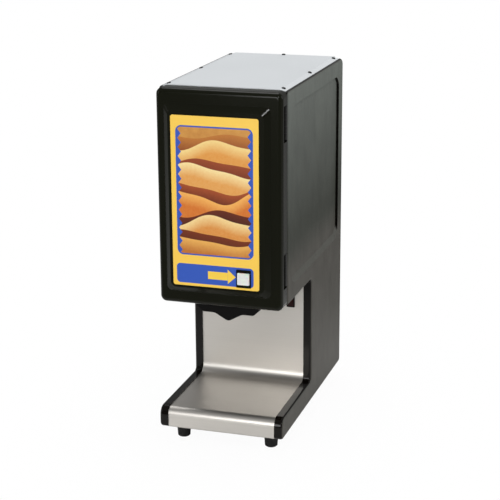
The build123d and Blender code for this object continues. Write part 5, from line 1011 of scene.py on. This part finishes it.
@dataclass(frozen=True)
class ScrewSet:
    """One group of cross-recessed screws that stands for a CAD node."""

    name: str
    node: str
    body: str
    slot: str
    head_radius: float
    head: float
    shank_radius: float
    shank: float
    places: tuple[tuple[Point, Point], ...]
    form: Head
    overlap: float = 0.3 * MM
    sides: int = 32
    dome_share: float = 0.6
    cross_reach: float = 0.62
    cross_half: float = 0.13
    cross_depth: float = 0.55

    def _head(self) -> Shape:
        """The head, domed or tapered, with its cross."""
        centre = (0.0, 0.0, self.head / 2)
        screw = Shape.bar(self.name, centre, self.head_radius, self.head, self.sides).edit()
        if self.form is Head.PAN:
            screw.pick(Domain.EDGE, lambda at, way: at.z > self.head - TOUCH)
            screw.round(self.head * self.dome_share, 4)
        else:
            screw.pick(Domain.VERTEX, lambda at, way: at.z < TOUCH)
            narrow = self.shank_radius / self.head_radius
            bpy.ops.transform.resize(value=(narrow, narrow, 1.0), center_override=(0.0, 0.0, 0.0))
        reach, half = self.head_radius * self.cross_reach, self.head_radius * self.cross_half
        depth = self.head * self.cross_depth
        slots = [
            Shape.block("slot", (-a, -b, self.head - depth), (a, b, self.head + depth))
            for a, b in ((reach, half), (half, reach))
        ]
        return screw.cut(*slots)

    def _shank(self) -> Shape:
        """The shank, which starts a little inside the head."""
        end = self.overlap - self.shank
        shank = Shape.bar("shank", (0.0, 0.0, end / 2), self.shank_radius, -end, self.sides // 2)
        shank.edit().pick(Domain.EDGE, lambda at, way: at.z < end + TOUCH)
        return shank.round(self.shank_radius / 2, 1).leave()

    def build(self, material: bpy.types.Material) -> None:
        """Model one screw, then repeat it at every place."""
        screws = self._head().join(self._shank()).copies(self.name, self.places)
        screws.smooth(40.0).finish(self.body, self.slot, material, [self.node])


@dataclass
class Fasteners:
    """The cross-recessed screws that show on the outside, on the door and in the pump."""

    cover_x: float = 0.100
    cover_ys: tuple[float, float, float] = (-0.148, 0.016, 0.184)
    cover_z: float = 0.6302
    cover_slope: float = math.atan2(2.5, 10.5)
    cover_rear: Point = (0.0, 0.199, 0.631)
    rear_xs: tuple[float, ...] = (-0.07995, -0.02665, 0.02665, 0.07995)
    rear_at: Span = (0.2077, 0.039)
    liner_xs: Span = (-0.093, 0.0985)
    liner_zs: tuple[float, float, float] = (0.274, 0.44575, 0.6175)
    liner_y: float = -0.1706
    motor_xs: Span = (-0.00979, 0.03021)
    motor_zs: Span = (0.282, 0.322)
    motor_y: float = -0.121
    head_radii: Span = (3.5 * MM, 3.44 * MM)
    head: float = 2 * MM
    shank_radius: float = 1.44 * MM
    cover_shank: float = 6 * MM
    liner_shank: float = 10 * MM
    motor_shank: float = 13 * MM

    def build(self) -> None:
        """Make the four sets."""
        black = PaintedSheet("screw_black", "#141312", 0.32, 900.0, 0.00003).material()
        steel = Metal("screw_steel", "#C8C8C6", 0.24).material()
        lean, rise = math.sin(self.cover_slope), math.cos(self.cover_slope)
        cover = [
            ((side * self.cover_x, y, self.cover_z), (side * lean, 0.0, rise))
            for side in (-1, 1)
            for y in self.cover_ys
        ]
        cover.append((self.cover_rear, (0.0, 0.0, 1.0)))
        rear = [((x, *self.rear_at), (0.0, 1.0, 0.0)) for x in self.rear_xs]
        liner = [((x, self.liner_y, z), (0.0, 1.0, 0.0)) for x in self.liner_xs for z in self.liner_zs]
        motor = [((x, self.motor_y, z), (0.0, -1.0, 0.0)) for x in self.motor_xs for z in self.motor_zs]
        sets = (
            ("cover_screw_heads", "top_cover_screws", "cabinet", Head.PAN, self.cover_shank, cover),
            ("rear_screw_heads", "rear_cover_screws", "cabinet", Head.PAN, self.cover_shank, rear),
            ("liner_screw_heads", "door_liner_screws", "door", Head.COUNTERSUNK, self.liner_shank, liner),
            ("motor_screw_heads", "gearmotor_screws", "cabinet", Head.COUNTERSUNK, self.motor_shank, motor),
        )
        for name, node, body, form, shank, places in sets:
            pan = form is Head.PAN
            slot, finish = ("screw_black", black) if pan else ("screw_steel", steel)
            radius = self.head_radii[0 if pan else 1]
            size = (radius, self.head, self.shank_radius, shank)
            ScrewSet(name, node, body, slot, *size, tuple(places), form).build(finish)


@dataclass
class ButtonCap:
    """The dispense button's hollow cap, dished for a fingertip."""

    low: Point = (0.0368, -0.2100, 0.3063)
    high: Point = (0.0578, -0.1950, 0.3269)
    corner: float = 0.0015
    edge: float = 0.00075
    wall: float = 0.0012
    front: float = 0.0024
    rings: tuple[Span, ...] = ((0.93, 0.0), (0.88, 0.0005), (0.75, 0.0003), (0.5, 0.0001))

    def build(self) -> None:
        """Round the block, hollow it from behind and dish its front."""
        cap = Shape.block("button_cap", self.low, self.high)
        cap.edit().pick(Domain.EDGE, along_y).round(self.corner, 5)
        cap.pick(Domain.FACE, lambda at, way: way.y > 0.9).inset(self.wall)
        cap.extrude((0.0, self.front - (self.high[1] - self.low[1]), 0.0))
        cap.pick(Domain.EDGE, lambda at, way: at.y < self.low[1] + TOUCH).round(self.edge, 4)
        cap.pick(Domain.FACE, lambda at, way: way.y < -0.99 and at.y < self.low[1] + TOUCH)
        middle = tuple((a + b) / 2 for a, b in zip(self.low, self.high))
        for share, depth in self.rings:
            cap.extrude((0.0, depth, 0.0))
            bpy.ops.transform.resize(value=(share, 1.0, share), center_override=middle)
        plastic = ClearPlastic("button_white", "#F4F4F1", 0.1, 0.5, 0.3).material()
        cap.leave().smooth(35.0).finish("button", "cap", plastic, ["dispense_button"])


@dataclass
class Studio:
    """A pale floor, soft lamps and the camera at the photograph's place."""

    camera_at: Point = (0.7439, -2.3859, 1.0371)
    yaw: float = math.radians(17.45)
    pitch: float = math.radians(16.32)
    roll: float = math.radians(-0.37)
    focal_pixels: float = 1435.8
    image_pixels: float = 500.0
    sensor: float = 36.0
    floor_half: float = 6.0
    shadow_reach: Span = (0.16, 0.42)
    shadow_share: float = 0.04
    shadow_depth: float = 0.3
    floor_rear: Span = (0.75, 0.35)
    floor_front: Span = (-0.85, -0.3)
    cloth_at: Point = (0.0, -3.6, 1.3)
    cloth_size: Point = (7.0, 2.6, 1.0)
    ambient: float = 0.55
    mirrored: float = 0.26
    lamps: tuple[tuple[str, Point, Point, float, float], ...] = (
        ("front", (-0.2, -2.5, 0.8), (0.0, -0.1, 0.25), 0.95, 21.0),
        ("left", (-2.4, -1.6, 0.9), (0.0, -0.1, 0.3), 0.9, 8.0),
        ("corner", (0.845, -1.67, 1.54), (0.09, -0.2, 0.6), 0.24, 8.0),
        ("side", (2.4, 0.6, 1.4), (0.1, 0.0, 0.4), 1.2, 14.0),
        ("top", (-0.2, 0.6, 2.6), (0.0, 0.0, 0.6), 1.4, 22.0),
    )

    def _camera(self) -> None:
        """Place the camera."""
        level = Vector((math.cos(self.yaw), math.sin(self.yaw), 0.0))
        ahead = Vector((-math.sin(self.yaw), math.cos(self.yaw), 0.0))
        forward = ahead * math.cos(self.pitch) - Vector((0.0, 0.0, math.sin(self.pitch)))
        up = level.cross(forward)
        right = level * math.cos(self.roll) + up * math.sin(self.roll)
        top = up * math.cos(self.roll) - level * math.sin(self.roll)
        data = bpy.data.cameras.new("camera")
        data.sensor_width = self.sensor
        data.lens = self.sensor * self.focal_pixels / self.image_pixels
        data.clip_end = 50.0
        camera = bpy.data.objects.new("camera", data)
        bpy.context.scene.collection.objects.link(camera)
        turn = Matrix((right, top, -forward)).transposed().to_4x4()
        camera.matrix_world = Matrix.Translation(self.camera_at) @ turn
        bpy.context.scene.camera = camera

    def _lamp(self, name: str, at: Point, aim: Point, size: float, watts: float) -> None:
        """Add one soft square lamp.

        Args:
            name: The lamp's name.
            at: Where it hangs.
            aim: What it looks at.
            size: The length of its side.
            watts: Its power.
        """
        data = bpy.data.lights.new(name, "AREA")
        data.shape = "SQUARE"
        data.size = size
        data.energy = watts
        lamp = bpy.data.objects.new(name, data)
        bpy.context.scene.collection.objects.link(lamp)
        lamp.location = at
        lamp.rotation_euler = (Vector(aim) - Vector(at)).to_track_quat("-Z", "Y").to_euler()

    def _floor(self) -> None:
        """Lay the floor, which keeps a faint shadow near the feet and lets the white through elsewhere."""
        Shape.clear()
        bpy.ops.mesh.primitive_plane_add(size=2 * self.floor_half, location=(0.0, 0.0, 0.0))
        floor = bpy.context.active_object
        floor.name = "floor"
        r = Recipe("floor_paper")
        x, y, _ = r.axes()
        far = (x * x + y * y * self.shadow_depth).math("SQRT")
        fibre = r.noise(300.0, 3.0)
        r.feed(Base_Color=r.blend(fibre, "#F4F4F3", "#F8F8F7"), Roughness=fibre * 0.1 + 0.85)
        shadow = far.fade(self.shadow_reach[1], self.shadow_reach[0]) * self.shadow_share
        seen = r.node("ShaderNodeLightPath", out="Is Camera Ray")
        near = y.fade(*self.floor_rear) * y.fade(*self.floor_front)
        r.feed(Specular_IOR_Level=0.1, Alpha=(1 - seen * (1 - shadow)) * near)
        floor.data.materials.append(r.material)

    def _flag(self) -> None:
        """Hang the black cloth behind the camera, which keeps the door's front dark."""
        Shape.clear()
        upright = (math.pi / 2, 0.0, 0.0)
        bpy.ops.mesh.primitive_plane_add(size=1.0, location=self.cloth_at, rotation=upright)
        cloth = bpy.context.active_object
        cloth.name = "cloth"
        cloth.scale = self.cloth_size
        r = Recipe("black_cloth")
        weave = r.noise(200.0, 2.0)
        r.feed(Base_Color=r.blend(weave, "#080808", "#121212"), Roughness=weave * 0.1 + 0.85)
        r.feed(Alpha=1 - r.node("ShaderNodeLightPath", out="Is Camera Ray"))
        cloth.data.materials.append(r.material)

    def _world(self) -> None:
        """Light from all round: soft for shading, dimmer in mirrors and white behind the object."""
        world = bpy.data.worlds.new("studio")
        bpy.context.scene.world = world
        world.use_nodes = True
        tree = world.node_tree
        tree.nodes.clear()
        output = tree.nodes.new("ShaderNodeOutputWorld")
        path = tree.nodes.new("ShaderNodeLightPath")
        shown = self._glow(tree, self.ambient)
        layers = (("Is Glossy Ray", self.mirrored), ("Is Camera Ray", 1.0), ("Is Transmission Ray", 1.0))
        for ray, strength in layers:
            mix = tree.nodes.new("ShaderNodeMixShader")
            tree.links.new(path.outputs[ray], mix.inputs[0])
            tree.links.new(shown, mix.inputs[1])
            tree.links.new(self._glow(tree, strength), mix.inputs[2])
            shown = mix.outputs[0]
        tree.links.new(shown, output.inputs[0])

    @staticmethod
    def _glow(tree: bpy.types.NodeTree, strength: float) -> bpy.types.NodeSocket:
        """White light of one strength from every side."""
        light = tree.nodes.new("ShaderNodeBackground")
        light.inputs[0].default_value = (1.0, 1.0, 1.0, 1.0)
        light.inputs[1].default_value = strength
        return light.outputs[0]

    def build(self) -> None:
        """Set up the camera, the floor, the lamps and the world."""
        self._camera()
        self._floor()
        self._world()
        self._flag()
        for name, at, aim, size, watts in self.lamps:
            self._lamp(name, at, aim, size, watts)
        bpy.context.scene.view_settings.view_transform = "Standard"


def main() -> None:
    """Build the classes in order."""
    logging.basicConfig(level=logging.INFO, format="%(name)s: %(message)s")
    Studio().build()
    CadFinishes().dress()
    SoftParts().build()
    Fasteners().build()
    ButtonCap().build()


if __name__ == "__main__":
    main()
